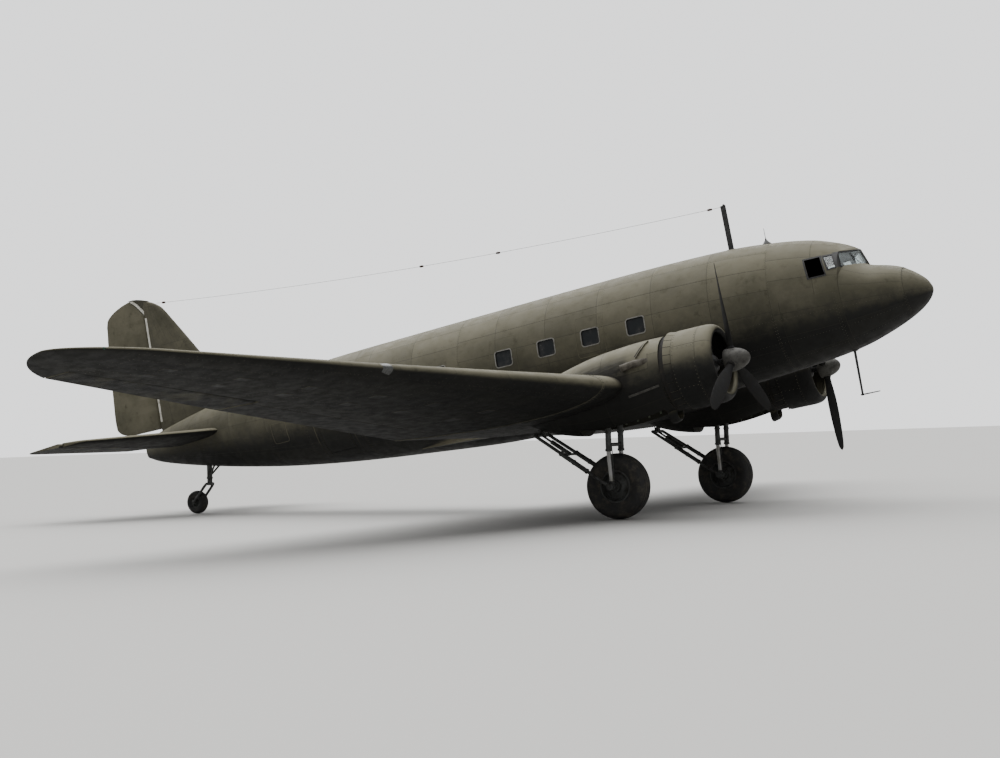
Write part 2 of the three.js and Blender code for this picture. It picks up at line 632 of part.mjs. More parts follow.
// Tail surfaces
const FIN = { gap: 14, hinge: 18380, foot: 1040, halfThickness: 105, tipHalf: 40, diagonalFrom: 3700 };
const FIN_SHAPE = [ // z, leading station
  [900, 15700], [1500, 16080], [2000, 16465], [2600, 16885], [3200, 17310], [3600, 17600], [3850, 17790],
  [4020, 18030], [4120, 18260],
];
const RUDDER_EDGE = [ // z, trailing station
  [1010, 19350], [1100, 19600], [1250, 19730], [2000, 19710], [3300, 19620], [3600, 19585], [3900, 19530],
  [4070, 19290], [4170, 19000], [4210, 18800],
];
const finHalf = (z) => FIN.halfThickness + ((FIN.tipHalf - FIN.halfThickness) * (z - 1000)) / 3200;

function fin(hull) {
  const rear = FIN.hinge;
  const rings = FIN_SHAPE.map(([z, leading]) => {
    const half = finHalf(z);
    const back = rear - half - FIN.gap;
    const chord = back - leading;
    const shares = [0, 0.03, 0.12, 0.35, 0.7, 1];
    const shape = [0.06, 0.38, 0.72, 1, 1.05, 1];
    const side = (sign) => shares.map((share, i) => at(leading + share * chord, sign * half * shape[i], z));
    return [...side(1), ...side(-1).reverse()];
  });
  // The tip runs aft over the cut-off upper corner of the rudder.
  const outline = [[18240, 3745], [18290, 3745], [18560, 4060], [18760, 4225], [18500, 4205], [18200, 4110]];
  const cap = prismAcrossY(outline, -finHalf(4000), finHalf(4000));
  const brackets = [1500, 2600, 3500].map((z) =>
    hingeBracket(at(FIN.hinge, 0, z), finHalf(z - 20), FIN.gap, PORT));
  return joined([loft(rings, ["x", "y"]).subtract(hull), cap, ...brackets]);
}

function rudder() {
  const rings = RUDDER_EDGE.map(([z, trailing]) => {
    const half = finHalf(z);
    return surfaceRing({ hinge: at(FIN.hinge, 0, z), edge: at(trailing, 0, z), radius: half,
      across: PORT });
  });
  const corner = prismAcrossY([[18100, 3725], [18305, 3725], [18590, 4055], [18800, 4235], [18700, 4500],
    [18000, 4500]], -300, 300);
  return loft(rings, ["x", "y"]).subtract(corner);
}

const TAILPLANE = { z: 560, hinge: 17780, half: 4080, rootLeading: 16000, tipLeading: 17370, trailing: 18850,
  rootHalf: 120, tipHalf: 45, tipStart: 3750, tipMiddle: 18500, inner: 430 };
function tailplaneEdges(y) {
  const t = Math.abs(y) / TAILPLANE.half;
  let leading = TAILPLANE.rootLeading + (TAILPLANE.tipLeading - TAILPLANE.rootLeading) * t;
  let trailing = TAILPLANE.trailing - 60 * t;
  if (Math.abs(y) > TAILPLANE.tipStart) {
    const k = Math.min((Math.abs(y) - TAILPLANE.tipStart) / (TAILPLANE.half - TAILPLANE.tipStart), 0.995);
    const shrink = 1 - Math.sqrt(1 - k * k);
    leading += (TAILPLANE.tipMiddle - leading) * shrink;
    trailing += (TAILPLANE.tipMiddle - trailing) * shrink;
  }
  const half = TAILPLANE.rootHalf + (TAILPLANE.tipHalf - TAILPLANE.rootHalf) * t;
  return { leading, trailing, half };
}
const TAILPLANE_PLACES = [0, 1200, 2400, 3300, 3750, 3850, 3930, 3985];

function tailplane() {
  const rings = (sign) => TAILPLANE_PLACES.map((y) => {
    const { leading, half } = tailplaneEdges(y);
    const back = TAILPLANE.hinge - half - CLEARANCE;
    const chord = back - leading;
    const shares = [0, 0.03, 0.12, 0.35, 0.7, 1];
    const shape = [0.06, 0.38, 0.72, 1, 1.05, 1];
    const skin = (side) => shares.map((share, i) =>
      at(leading + share * chord, sign * y, TAILPLANE.z + side * half * shape[i]));
    return [...skin(1), ...skin(-1).reverse()];
  });
  const brackets = [900, 2200, 3400].flatMap((y) => SIDES.map(({ sign }) =>
    hingeBracket(at(TAILPLANE.hinge, sign * y, TAILPLANE.z), tailplaneEdges(y - 20).half, CLEARANCE,
      new THREE.Vector3(0, 0, 1))));
  return joined([loft([...rings(-1).reverse(), ...rings(1).slice(1)], ["x", "z"]), ...brackets]);
}

function elevator(sign) {
  const up = new THREE.Vector3(0, 0, 1);
  const places = [TAILPLANE.inner, 760, 1800, 3300, 3750, 3880, 3985, 4040, 4072];
  const rings = places.map((y) => {
    const { trailing, half } = tailplaneEdges(y);
    const end = y === TAILPLANE.inner ? trailing - 420 : trailing;
    const place = (station) => at(station, sign * y, TAILPLANE.z);
    return surfaceRing({ hinge: place(TAILPLANE.hinge), edge: place(end), radius: half, across: up });
  });
  return loft(rings, ["x", "z"]);
}

// Tail wheel: a fixed leg, a swivelling fork and the wheel
const tailAxleZ = () => {
  const run = TAIL_AXLE.station - MAIN_AXLE.station;
  const drop = MAIN_AXLE.radius - TAIL_AXLE.radius;
  return MAIN_AXLE.z + (run * Math.sin(GROUND_ANGLE) - drop) / Math.cos(GROUND_ANGLE);
};

// Foot of the tail leg, and its line upwards, which stands upright on the ground
const TAIL_PIVOT = { station: 17160, z: -430, lean: 86, length: 520 };

const tailPivotAt = (distance) => {
  const { station, z, lean, length } = TAIL_PIVOT;
  const share = distance / Math.hypot(lean, length);
  return at(station + lean * share, 0, z - length * share);
};

function tailLeg(hull) {
  const post = rod(tailPivotAt(-700), tailPivotAt(0), 62, 62, 16);
  const stays = [-1, 1].map((side) => rod(at(16780, side * 130, -60), tailPivotAt(-55), 22));
  return joined([post, ...stays]).subtract(hull.translate([0, 0, -SEAM]));
}

function tailFork() {
  const axleZ = tailAxleZ();
  const crown = tailPivotAt(110);
  const reach = TAIL_AXLE.width / 2 + 35;
  const parts = [rod(tailPivotAt(2 * SEAM), tailPivotAt(150), 60, 60, 16)];
  for (const side of [-1, 1]) {
    const shoulder = crown.clone().setY(side * reach);
    parts.push(rod(crown, shoulder, 40));
    parts.push(rod(shoulder, at(TAIL_AXLE.station, side * reach, axleZ), 30));
  }
  parts.push(rod(at(TAIL_AXLE.station, -reach - 20, axleZ), at(TAIL_AXLE.station, reach + 20, axleZ), 24));
  return joined(parts);
}

// Masts and aerials
function roofMast(hull) {
  const outline = (s) => [[s - 62, 0], [s - 30, 16], [s + 50, 0], [s - 30, -16]];
  return prismAcrossZ(outline(3620), 1500, 2540).subtract(hull.translate([0, 0, SEAM]));
}

function chinMast(hull) {
  const mast = rod(at(1640, 0, -600), at(1665, 0, -1660), 26, 20);
  const tube = rod(at(1700, 0, -1640), at(1330, 0, -1640), 14, 9);
  return mast.add(tube).subtract(hull.translate([0, 0, -SEAM]));
}

// Passenger door on the starboard side, hinged at its front edge
const DOOR = { front: 12450, rear: 13210, low: -560, high: 880, corner: 160, depth: 480, wall: 45, gap: 10 };
function doorPrism(gap, y0, y1) {
  const { front, rear, low, high, corner } = DOOR;
  const outline = [[front + gap, low + gap], [rear - gap, low + gap], [rear - gap, high - corner],
    [rear - corner, high - gap], [front + corner, high - gap], [front + gap, high - corner]];
  return prismAcrossY(outline, y0, y1);
}

// Two hinges stand just outside the skin at the door's front edge.
const DOOR_HINGE = { y: -1116, heights: [-120, 540], radius: 16, half: 60 };
function doorHinges(side) {
  const { y, heights, radius, half } = DOOR_HINGE;
  const knuckle = (z0, z1) => rod(at(DOOR.front, y, z0), at(DOOR.front, y, z1), radius, radius, 12);
  return heights.flatMap((z) => {
    if (side === "hull") {
      const plate = block(DOOR.front - 70, DOOR.front, y + 4, y + 110, z - half, z + half);
      return [knuckle(z - half, z + half), plate];
    }
    const [z0, z1] = [z + half + SEAM, z + 2 * half];
    return [knuckle(z0, z1), block(DOOR.front + 1, DOOR.front + 80, y + 4, y + 110, z0, z1)];
  });
}

// Cockpit furniture
function seat(sign) {
  const y = sign * 400;
  const base = block(2080, 2480, y - 170, y + 170, COCKPIT_FLOOR + SEAM, COCKPIT_FLOOR + 380);
  const cushion = block(2040, 2500, y - 215, y + 215, COCKPIT_FLOOR + 380, COCKPIT_FLOOR + 470);
  const back = prismAcrossY([[2420, 130], [2500, 130], [2600, 760], [2530, 770]], y - 210, y + 210);
  return joined([base, cushion, back]);
}

function controlColumn(sign) {
  const y = sign * 400;
  const post = rod(at(1750, y, COCKPIT_FLOOR + SEAM + 2.4), at(1800, y, 380), 28);
  const wheel = new THREE.TorusGeometry(150, 14, 6, 16);
  wheel.rotateY(Math.PI / 2);
  wheel.translate(-1815, y, 420);
  const spoke = rod(at(1815, y - 150, 420), at(1815, y + 150, 420), 12, 12, 8);
  return joined([post, solidOf(wheel), spoke, rod(at(1800, y, 380), at(1815, y, 424), 28)]);
}

// Build
const aircraft = new THREE.Group();
const airframe = new THREE.Group();
airframe.rotation.y = -GROUND_ANGLE;
aircraft.add(airframe);
const add = (name, solid, look) => airframe.add(meshOf(name, solid, look));

const noseCap = hullLoft([8, 30, 70, 120, 180, 260, 350, NOSE_CAP_REAR]);
add("nose_cap", noseCap, OLIVE);
const { shell, glazing } = cockpit();
add("cockpit_shell", shell, OLIVE);
for (const [name, pane] of glazing) add(name, pane, GLASS);
for (const { name, sign } of SIDES) {
  add(`pilot_seat_${name}`, seat(sign), LEATHER);
  add(`control_column_${name}`, controlColumn(sign), BLACK);
}

const range = (from, to, step) => {
  const count = Math.round((to - from) / step);
  return Array.from({ length: count + 1 }, (_, i) => from + ((to - from) * i) / count);
};
const wingWithSeam = wingLoft([-CENTRE_WING_HALF, CENTRE_WING_HALF], SEAM);
const FRAMES = { cabin: 9400, doorway: 12100, tail: 13560 };
const centreHull = hullLoft(range(COCKPIT_REAR + SEAM, FRAMES.cabin, 660));
add("fuselage_centre", centreHull.subtract(wingWithSeam), OLIVE);
add("fuselage_aft_cabin", hullLoft(range(FRAMES.cabin + SEAM, FRAMES.doorway, 900)), OLIVE);
const doorStations = range(FRAMES.doorway + SEAM, FRAMES.tail, 365);
const doorwayHull = hullLoft(doorStations);
const doorSkin = doorwayHull.subtract(hullLoft(doorStations, DOOR.wall));
const pocket = doorPrism(0, -1500, -DOOR.depth);
add("fuselage_doorway", joined([doorwayHull.subtract(pocket), ...doorHinges("hull")]), OLIVE);
const doorPanel = doorSkin.intersect(doorPrism(DOOR.gap, -1500, -300));
add("passenger_door", joined([doorPanel, ...doorHinges("door")]), OLIVE);
const tailplaneBody = tailplane();
const tailHull = hullLoft(range(FRAMES.tail + SEAM, TAIL_CONE_FRONT, 480));
const grownTailplane = tailplaneBody.translate([0, 0, SEAM]).add(tailplaneBody.translate([0, 0, -SEAM]))
  .add(tailplaneBody.translate([SEAM, 0, 0])).add(tailplaneBody.translate([-SEAM, 0, 0]));
add("fuselage_tail", tailHull.subtract(grownTailplane), OLIVE);
const tailCone = hullLoft([TAIL_CONE_FRONT + SEAM, 18200, 18500, 18700, 18850]);
add("tail_cone", tailCone, OLIVE);

add("centre_wing", wingLoft([-CENTRE_WING_HALF, CENTRE_WING_HALF]).subtract(
  joined(SIDES.map(({ sign }) => flap(FLAP_SPANS.inner, sign, CLEARANCE)))), OLIVE);
const outerPlaces = [CENTRE_WING_HALF + SEAM, 6500, 9000, 11200, 12700, 13230, 13630, 13900, 14060, 14122];
for (const { name, sign } of SIDES) {
  const whole = wingLoft(outerPlaces.map((y) => sign * y));
  const cut = joined([aileronBay(sign), flap(FLAP_SPANS.outer, sign, CLEARANCE)]);
  add(`outer_wing_${name}`, joined([whole.subtract(cut), ...aileronBrackets(sign)]), OLIVE);
  add(`aileron_${name}`, aileron(sign), FABRIC);
  add(`inner_flap_${name}`, flap(FLAP_SPANS.inner, sign), OLIVE);
  add(`outer_flap_${name}`, flap(FLAP_SPANS.outer, sign), OLIVE);

  const body = nacelle(sign, wingWithSeam);
  add(`nacelle_${name}`, body, OLIVE);
  add(`cowl_${name}`, cowl(sign), OLIVE);
  add(`engine_${name}`, engine(sign), BLACK);
  add(`propeller_${name}`, propeller(name, sign), BLACK);

  const axle = at(MAIN_AXLE.station, sign * TRACK_HALF, MAIN_AXLE.z);
  const hubRadius = 300;
  add(`main_leg_${name}`, gearLeg(sign), STEEL);
  add(`drag_brace_${name}`, dragBrace(sign, body), STEEL);
  add(`main_tyre_${name}`, tyre(axle, MAIN_AXLE.radius, MAIN_AXLE.width, hubRadius + SEAM), RUBBER);
  add(`main_hub_${name}`, wheelHub(axle, hubRadius, 380, LEG.axleRadius + 0.8), STEEL);
  add(`elevator_${name}`, elevator(sign), FABRIC);
}
add("tailplane", tailplaneBody, OLIVE);
add("fin", fin(joined([tailHull, tailCone, tailHull.translate([-1, 0, 0])]).translate([0, 0, SEAM])), OLIVE);
add("rudder", rudder(), FABRIC);
add("tail_leg", tailLeg(tailHull), STEEL);
add("tail_fork", tailFork(), STEEL);
const tailAxle = at(TAIL_AXLE.station, 0, tailAxleZ());
add("tail_tyre", tyre(tailAxle, TAIL_AXLE.radius, TAIL_AXLE.width, 130 + SEAM, 32), RUBBER);
add("tail_hub", wheelHub(tailAxle, 130, 170, 24.8), STEEL);
add("roof_mast", roofMast(centreHull), STEEL);
add("chin_mast", chinMast(shell), STEEL);

// Set down on Z = 0 with the box centred
aircraft.updateMatrixWorld(true);
const box = new THREE.Box3().setFromObject(aircraft, true);
airframe.position.set(-(box.min.x + box.max.x) / 2, 0, -box.min.z);

export default aircraft;
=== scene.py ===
from math import copysign, cos, exp, hypot, pi, radians, sin, sqrt

import bmesh
import bpy
from mathutils import Matrix, Vector


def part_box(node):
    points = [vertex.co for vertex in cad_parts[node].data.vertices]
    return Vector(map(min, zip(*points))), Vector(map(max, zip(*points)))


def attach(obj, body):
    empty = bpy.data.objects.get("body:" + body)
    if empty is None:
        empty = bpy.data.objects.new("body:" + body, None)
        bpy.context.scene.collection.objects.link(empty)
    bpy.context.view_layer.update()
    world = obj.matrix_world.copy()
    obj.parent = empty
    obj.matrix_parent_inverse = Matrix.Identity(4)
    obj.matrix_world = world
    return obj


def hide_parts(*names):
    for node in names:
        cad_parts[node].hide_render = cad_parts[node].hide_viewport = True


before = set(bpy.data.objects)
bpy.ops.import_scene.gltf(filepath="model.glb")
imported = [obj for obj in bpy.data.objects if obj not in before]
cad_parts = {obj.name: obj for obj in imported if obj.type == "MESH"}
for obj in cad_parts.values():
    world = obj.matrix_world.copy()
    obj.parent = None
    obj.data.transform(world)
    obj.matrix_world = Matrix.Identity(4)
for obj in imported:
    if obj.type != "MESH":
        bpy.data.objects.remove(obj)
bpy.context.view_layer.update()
print("frame loaded:", len(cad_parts), "nodes")

# The airframe is drawn level, in metres: -X is the station aft of the nose tip, +Y port, +Z up.
# It is then turned nose-up, and moved so that its main axle is where the frame has it.
attitude = radians(9.34)
wheelLow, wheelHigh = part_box("main_tyre_left")
mainAxle = Vector((-5.65, 2.82, -2.535))
turnedUp = Matrix.Rotation(-attitude, 4, "Y")
shift = (wheelLow + wheelHigh) / 2 - turnedUp @ mainAxle
parked = Matrix.Translation(shift) @ turnedUp

trackHalf = mainAxle.y
thrustZ = -0.75
sides = {"left": 1, "right": -1}
seam = 0.0004  # between pieces that touch
clearance = 0.008  # round what moves
up = Vector((0, 0, 1))
port = Vector((0, 1, 0))
forward = Vector((1, 0, 0))


def at(station, y, z):
    return Vector((-station, y, z))


def spoke(angle):
    return Vector((0, cos(angle), sin(angle)))


def circle(count, phase=0.0):
    return [2 * pi * (k + phase) / count for k in range(count)]


def mix(a, b, share):
    return a + (b - a) * share


def squarish(angle, power):
    # Where an angle lies on a circle whose corners are filled out, as across and up
    return (copysign(abs(v) ** power, v) for v in (cos(angle), sin(angle)))


def within(value, low=0.0, high=1.0):
    return min(high, max(low, value))


# Meshes and pieces
def newObject(name, mesh):
    made = bpy.data.objects.new(name, mesh)
    bpy.context.scene.collection.objects.link(made)
    return made


def fromBmesh(name, bm):
    bmesh.ops.recalc_face_normals(bm, faces=bm.faces)
    mesh = bpy.data.meshes.new(name)
    bm.to_mesh(mesh)
    bm.free()
    return newObject(name, mesh)


def loft(name, rings, closed=False):
    # A closed body through rings of as many points each, with lengths in metres as its UV map
    bm = bmesh.new()
    uv = bm.loops.layers.uv.new("skin")
    rows = [[bm.verts.new(p) for p in ring] for ring in rings]
    count = len(rings[0])
    pairs = list(zip(rows, rows[1:]))
    if closed:
        pairs.append((rows[-1], rows[0]))
    lengths = [sum((ring[(i + 1) % count] - ring[i]).length for i in range(count)) for ring in rings]
    longest = rings[lengths.index(max(lengths))]
    girth = [0.0]
    for i in range(count):
        girth.append(girth[-1] + (longest[(i + 1) % count] - longest[i]).length)
    along = 0.0
    sample = range(0, count, max(1, count // 8))
    for near, far in pairs:
        step = sum((far[i].co - near[i].co).length for i in sample) / len(sample)
        for i in range(count):
            k = (i + 1) % count
            face = bm.faces.new((near[i], near[k], far[k], far[i]))
            places = ((along, girth[i]), (along, girth[i + 1]), (along + step, girth[i + 1]),
                (along + step, girth[i]))
            for loop, place in zip(face.loops, places):
                loop[uv].uv = place
        along += step
    if not closed:
        bm.faces.new(rows[0])
        bm.faces.new(rows[-1])
    return fromBmesh(name, bm)


def turned(name, profile, centre, axis, segments=64):
    # A closed profile of (radius, distance) points turned about the line through centre along the axis
    across = axis.orthogonal().normalized()
    other = axis.cross(across)
    rings = []
    for angle in circle(segments):
        out = across * cos(angle) + other * sin(angle)
        rings.append([centre + out * max(radius, 0.0008) + axis * distance for radius, distance in profile])
    return loft(name, rings, closed=True)


def ringAt(middle, across, other, radius, count):
    return [middle + (across * cos(a) + other * sin(a)) * radius for a in circle(count)]


def rod(name, start, end, radius, segments=24, endRadius=None):
    # A round rod with a small bevel at each end
    endRadius = radius if endRadius is None else endRadius
    along = (end - start).normalized()
    across = along.orthogonal().normalized()
    other = along.cross(across)
    bevel = min(radius, endRadius) * 0.12
    length = (end - start).length
    ends = ((0, radius - bevel), (bevel, radius), (length - bevel, endRadius), (length, endRadius - bevel))
    return loft(name, [ringAt(start + along * distance, across, other, size, segments) for distance, size in ends])


def alongPath(path, i):
    return (path[min(i + 1, len(path) - 1)] - path[max(i - 1, 0)]).normalized()


def tube(name, points, radius, segments=12, smooth=4):
    # A round pipe along a smooth path through the points
    path = smoothPath(points, smooth)
    rings = []
    across = (path[1] - path[0]).orthogonal().normalized()
    for i, point in enumerate(path):
        along = alongPath(path, i)
        across = (across - along * across.dot(along)).normalized()
        rings.append(ringAt(point, across, along.cross(across), radius, segments))
    return loft(name, rings)


def smoothPath(points, steps):
    if steps < 2 or len(points) < 3:
        return points
    path = []
    for i in range(len(points) - 1):
        p0, p1, p2, p3 = (points[min(max(k, 0), len(points) - 1)] for k in (i - 1, i, i + 1, i + 2))
        for step in range(steps):
            t = step / steps
            path.append(0.5 * (2 * p1 + (p2 - p0) * t + (2 * p0 - 5 * p1 + 4 * p2 - p3) * t * t
                + (3 * p1 - p0 - 3 * p2 + p3) * t ** 3))
    path.append(points[-1])
    return path


def prism(name, outline, start, end):
    # A prism between two places, through an outline of points in the plane at the origin
    return loft(name, [[point + start for point in outline], [point + end for point in outline]])


def prismAcrossY(name, outline, y0, y1):
    return prism(name, [at(s, 0, z) for s, z in outline], port * y0, port * y1)


def prismAcrossX(name, outline, s0, s1):
    return prism(name, [at(0, y, z) for y, z in outline], forward * -s0, forward * -s1)


def prismAcrossZ(name, outline, z0, z1):
    return prism(name, [at(s, y, 0) for s, y in outline], up * z0, up * z1)


def block(name, s0, s1, y0, y1, z0, z1):
    return prismAcrossX(name, [(y0, z0), (y1, z0), (y1, z1), (y0, z1)], s0, s1)


def applyModifiers(piece):
    # The piece's mesh as its modifiers leave it
    bpy.context.view_layer.update()
    graph = bpy.context.evaluated_depsgraph_get()
    mesh = bpy.data.meshes.new_from_object(piece.evaluated_get(graph), depsgraph=graph)
    piece.modifiers.clear()
    piece.data = mesh
    return piece


def combine(piece, others, operation):
    for other in others:
        tool = piece.modifiers.new("combine", "BOOLEAN")
        tool.operation = operation
        tool.solver = "MANIFOLD"
        tool.object = other
        applyModifiers(piece)
    for other in others:
        bpy.data.objects.remove(other)
    return piece


def cut(piece, *others):
    return combine(piece, others, "DIFFERENCE")


def common(piece, *others):
    return combine(piece, others, "INTERSECT")


def together(piece, *others):
    return combine(piece, others, "UNION")


def joinMeshes(pieces):
    # One object that holds the meshes of several, which stay closed solids of their own
    bm = bmesh.new()
    for piece in pieces:
        bm.from_mesh(piece.data)
    mesh = bpy.data.meshes.new("joined")
    bm.to_mesh(mesh)
    bm.free()
    for piece in pieces:
        bpy.data.objects.remove(piece)
    return newObject("joined", mesh)


def finishPiece(piece, name, look, *replaced, body="airframe", slotName=None, sharp=35):
    # Joins the parts, sets the piece in the parked frame, smooths it and lets it ride on its body
    if isinstance(piece, list):
        piece = joinMeshes(piece)
    slotName = slotName or slotOf[look]
    piece.name = name
    piece.data.name = name
    piece.data.transform(parked)
    piece.data.materials.clear()
    piece.data.materials.append(looks[look])
    for face in piece.data.polygons:
        face.use_smooth = True
    piece.data.set_sharp_from_angle(angle=radians(sharp))
    if replaced:
        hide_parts(*replaced)
    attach(piece, body)
    return piece


def rowAt(table, place):
    # Smooth values between the rows of a table whose first column is the station
    last = len(table) - 1
    k = next((i for i, row in enumerate(table) if row[0] >= place), last)
    if k == 0:
        return list(table[0])
    rows = [table[min(max(i, 0), last)] for i in (k - 2, k - 1, k, k + 1)]
    p0, p1, p2, p3 = rows
    span = p2[0] - p1[0]
    t = (place - p1[0]) / span
    values = [place]
    for column in range(1, len(p1)):
        m1 = 0 if p2 is p0 or p2[0] == p0[0] else (p2[column] - p0[column]) / (p2[0] - p0[0]) * span
        m2 = 0 if p3[0] == p1[0] else (p3[column] - p1[column]) / (p3[0] - p1[0]) * span
        values.append((2 * t ** 3 - 3 * t ** 2 + 1) * p1[column] + (t ** 3 - 2 * t ** 2 + t) * m1
            + (3 * t ** 2 - 2 * t ** 3) * p2[column] + (t ** 3 - t ** 2) * m2)
    return values


def spread(start, end, step):
    count = max(1, round((end - start) / step))
    return [start + (end - start) * i / count for i in range(count + 1)]


# Materials
def plug(node, inputs):
    # Sets each input to its value, or links it to its socket
    for key, value in inputs.items():
        if isinstance(value, bpy.types.NodeSocket):
            node.id_data.links.new(value, node.inputs[key])
        else:
            node.inputs[key].default_value = value


def addNode(tree, kind, inputs=None, **settings):
    node = tree.nodes.new(kind)
    for key, value in settings.items():
        setattr(node, key, value)
    plug(node, inputs or {})
    return node


def colour(values):
    return (*values, 1.0)


def mixColour(amount, first, second):
    first, second = (value if isinstance(value, bpy.types.NodeSocket) else colour(value) for value in (first, second))
    return addNode(amount.id_data, "ShaderNodeMix", {0: amount, 6: first, 7: second}, data_type="RGBA").outputs[2]


def calculate(operation, *values):
    tree = next(value.id_data for value in values if isinstance(value, bpy.types.NodeSocket))
    return addNode(tree, "ShaderNodeMath", dict(enumerate(values)), operation=operation).outputs[0]


def times(*values):
    return calculate("MULTIPLY", *values)


def plus(*values):
    return calculate("ADD", *values)


def between(value, low, high, toLow=0.0, toHigh=1.0):
    return addNode(value.id_data, "ShaderNodeMapRange", {"Value": value, "From Min": low, "From Max": high,
        "To Min": toLow, "To Max": toHigh}, interpolation_type="SMOOTHSTEP").outputs[0]


def noise(vector, scale, detail=3.0, roughness=0.55):
    return addNode(vector.id_data, "ShaderNodeTexNoise", {"Vector": vector, "Scale": scale, "Detail": detail,
        "Roughness": roughness}).outputs[0]


def levelPlace(tree):
    # Object coordinates turned back to the level airframe, as station, port and height sockets
    source = addNode(tree, "ShaderNodeTexCoord")
    mapping = addNode(tree, "ShaderNodeMapping", {"Vector": source.outputs["Object"], "Location": shift,
        "Rotation": (0, -attitude, 0)}, vector_type="TEXTURE")
    split = addNode(tree, "ShaderNodeSeparateXYZ", {"Vector": mapping.outputs[0]})
    station = times(split.outputs[0], -1.0)
    return mapping.outputs[0], station, split.outputs[1], split.outputs[2]


def newMaterial(name, roughness=0.6, metallic=0.0):
    material = bpy.data.materials.new(name)
    material.use_nodes = True
    tree = material.node_tree
    shader = tree.nodes["Principled BSDF"]
    plug(shader, {"Roughness": roughness, "Metallic": metallic})
    return material, tree, shader


def paint(shader, tone, roughness, height):
    bump = addNode(shader.id_data, "ShaderNodeBump", {"Height": height, "Strength": 1.0, "Distance": 1.0})
    plug(shader, {"Base Color": tone, "Roughness": roughness, "Normal": bump.outputs[0]})


oliveTop = (0.066, 0.062, 0.042)
oliveFaded = (0.108, 0.100, 0.070)
# painted highlight colour, for faces turned up to the sky
oliveSkyHighlight = (0.185, 0.172, 0.123)
oliveDark = (0.026, 0.025, 0.019)
# near black for the underside: partly underside paint, partly painted shade
underBlackAndShade = (0.0095, 0.0095, 0.009)
skinPaint = {"panelLength": 1.15, "panelHeight": 0.453, "seamWidth": 0.005, "rivetPitch": 0.03, "rivetReach": 0.055}


def airframePaint(name, underPaintAndShadeLimit, roughness=0.66, panels=True, fabric=False, blackSootAndShade=()):
    # Matt olive drab over black, with skin panels, rivets, faded patches, streaks and soot; the near black below is
    # partly underside paint and partly painted shade up the lower sides, and faces turned up get a painted highlight
    material, tree, shader = newMaterial(name, roughness)
    plug(shader, {"Specular IOR Level": 0.14})
    vector, station, portward, height = levelPlace(tree)
    source = addNode(tree, "ShaderNodeTexCoord")
    skin = source.outputs["UV"]
    patches = noise(vector, 0.9, 5.0, 0.62)
    blotches = noise(vector, 5.5, 4.0, 0.6)
    grain = noise(vector, 60.0, 3.0, 0.7)
    tone = mixColour(between(patches, 0.35, 0.68), oliveTop, oliveFaded)
    tone = mixColour(between(blotches, 0.55, 0.78, 0.0, 0.55), tone, oliveDark)
    upward = addNode(tree, "ShaderNodeVectorMath", {0: source.outputs["Normal"], 1: turnedUp @ up},
        operation="DOT_PRODUCT").outputs["Value"]
    edge = plus(upward, between(blotches, 0.3, 0.7, -0.06, 0.06))
    # near black where the surface faces down: partly underside paint, partly painted shade reaching up the lower
    # sides
    tone = mixColour(between(edge, underPaintAndShadeLimit - 0.3, underPaintAndShadeLimit + 0.3, 1.0, 0.0), tone, underBlackAndShade)
    # painted highlight: faces that turn up are lightened, as if lit by the sky
    sky = between(upward, 0.05, 0.9)
    tone = mixColour(times(sky, 0.68), tone, oliveSkyHighlight)
    drawn = addNode(tree, "ShaderNodeMapping", {"Vector": vector, "Scale": (0.7, 9.0, 5.0)}).outputs[0]
    streaks = noise(drawn, 2.2, 4.0, 0.7)
    tone = mixColour(between(streaks, 0.58, 0.8, 0.0, 0.28), tone, oliveDark)
    relief = times(grain, 0.0006)
    if panels:
        sheets = {"Vector": skin, "Scale": 1.0, "Brick Width": skinPaint["panelLength"],
            "Row Height": skinPaint["panelHeight"]}
        greys = {"Color1": colour((0, 0, 0)), "Color2": colour((1, 1, 1)), "Mortar": colour((0.5, 0.5, 0.5))}
        brick = addNode(tree, "ShaderNodeTexBrick", {**sheets, **greys, "Mortar Size": skinPaint["seamWidth"],
            "Mortar Smooth": 0.3}, offset=0.0)
        panelTone = addNode(tree, "ShaderNodeSeparateColor", {"Color": brick.outputs["Color"]}).outputs[0]
        lines = brick.outputs["Fac"]
        tone = mixColour(times(panelTone, 0.22), tone, oliveDark)
        tone = mixColour(times(lines, 0.6), tone, oliveDark)
        near = addNode(tree, "ShaderNodeTexBrick", {**sheets, "Mortar Size": skinPaint["rivetReach"],
            "Mortar Smooth": 0.0}, offset=0.0)
        dots = addNode(tree, "ShaderNodeTexVoronoi", {"Vector": skin, "Scale": 1 / skinPaint["rivetPitch"],
            "Randomness": 0.0})
        rivet = between(dots.outputs["Distance"], 0.12, 0.2, 1.0, 0.0)
        rivet = times(rivet, near.outputs["Fac"])
        relief = plus(relief, times(rivet, 0.0016))
        relief = calculate("SUBTRACT", relief, times(lines, 0.002))
        relief = plus(relief, times(noise(vector, 2.4, 1.0), 0.003))
    if fabric:
        tone = mixColour(between(noise(vector, 1.7, 5.0, 0.66), 0.45, 0.72, 0.0, 0.5), tone, oliveTop)
        weave = addNode(tree, "ShaderNodeTexWave", {"Vector": vector, "Scale": 180.0, "Distortion": 0.4})
        relief = plus(relief, times(weave.outputs["Fac"], 0.0003))
    for start, end, y, z, reach in blackSootAndShade:
        lengthwise = times(between(station, start - 0.05, start + 0.12), between(station, end - 1.2, end, 1.0, 0.0))
        offLine, offHeight = (calculate("ABSOLUTE", calculate("SUBTRACT", value, middle)) for value,
            middle in ((calculate("ABSOLUTE", portward), y), (height, z)))
        mask = times(lengthwise, times(between(offLine, reach * 0.2, reach, 1.0, 0.0),
            between(offHeight, reach * 0.2, reach * 1.5, 1.0, 0.0)))
        mask = times(mask, between(streaks, 0.25, 0.6, 0.45, 0.95))
        tone = mixColour(mask, tone, (0.012, 0.011, 0.010))
    paint(shader, tone, between(blotches, 0.3, 0.8, roughness - 0.1, roughness + 0.16), relief)
    return material


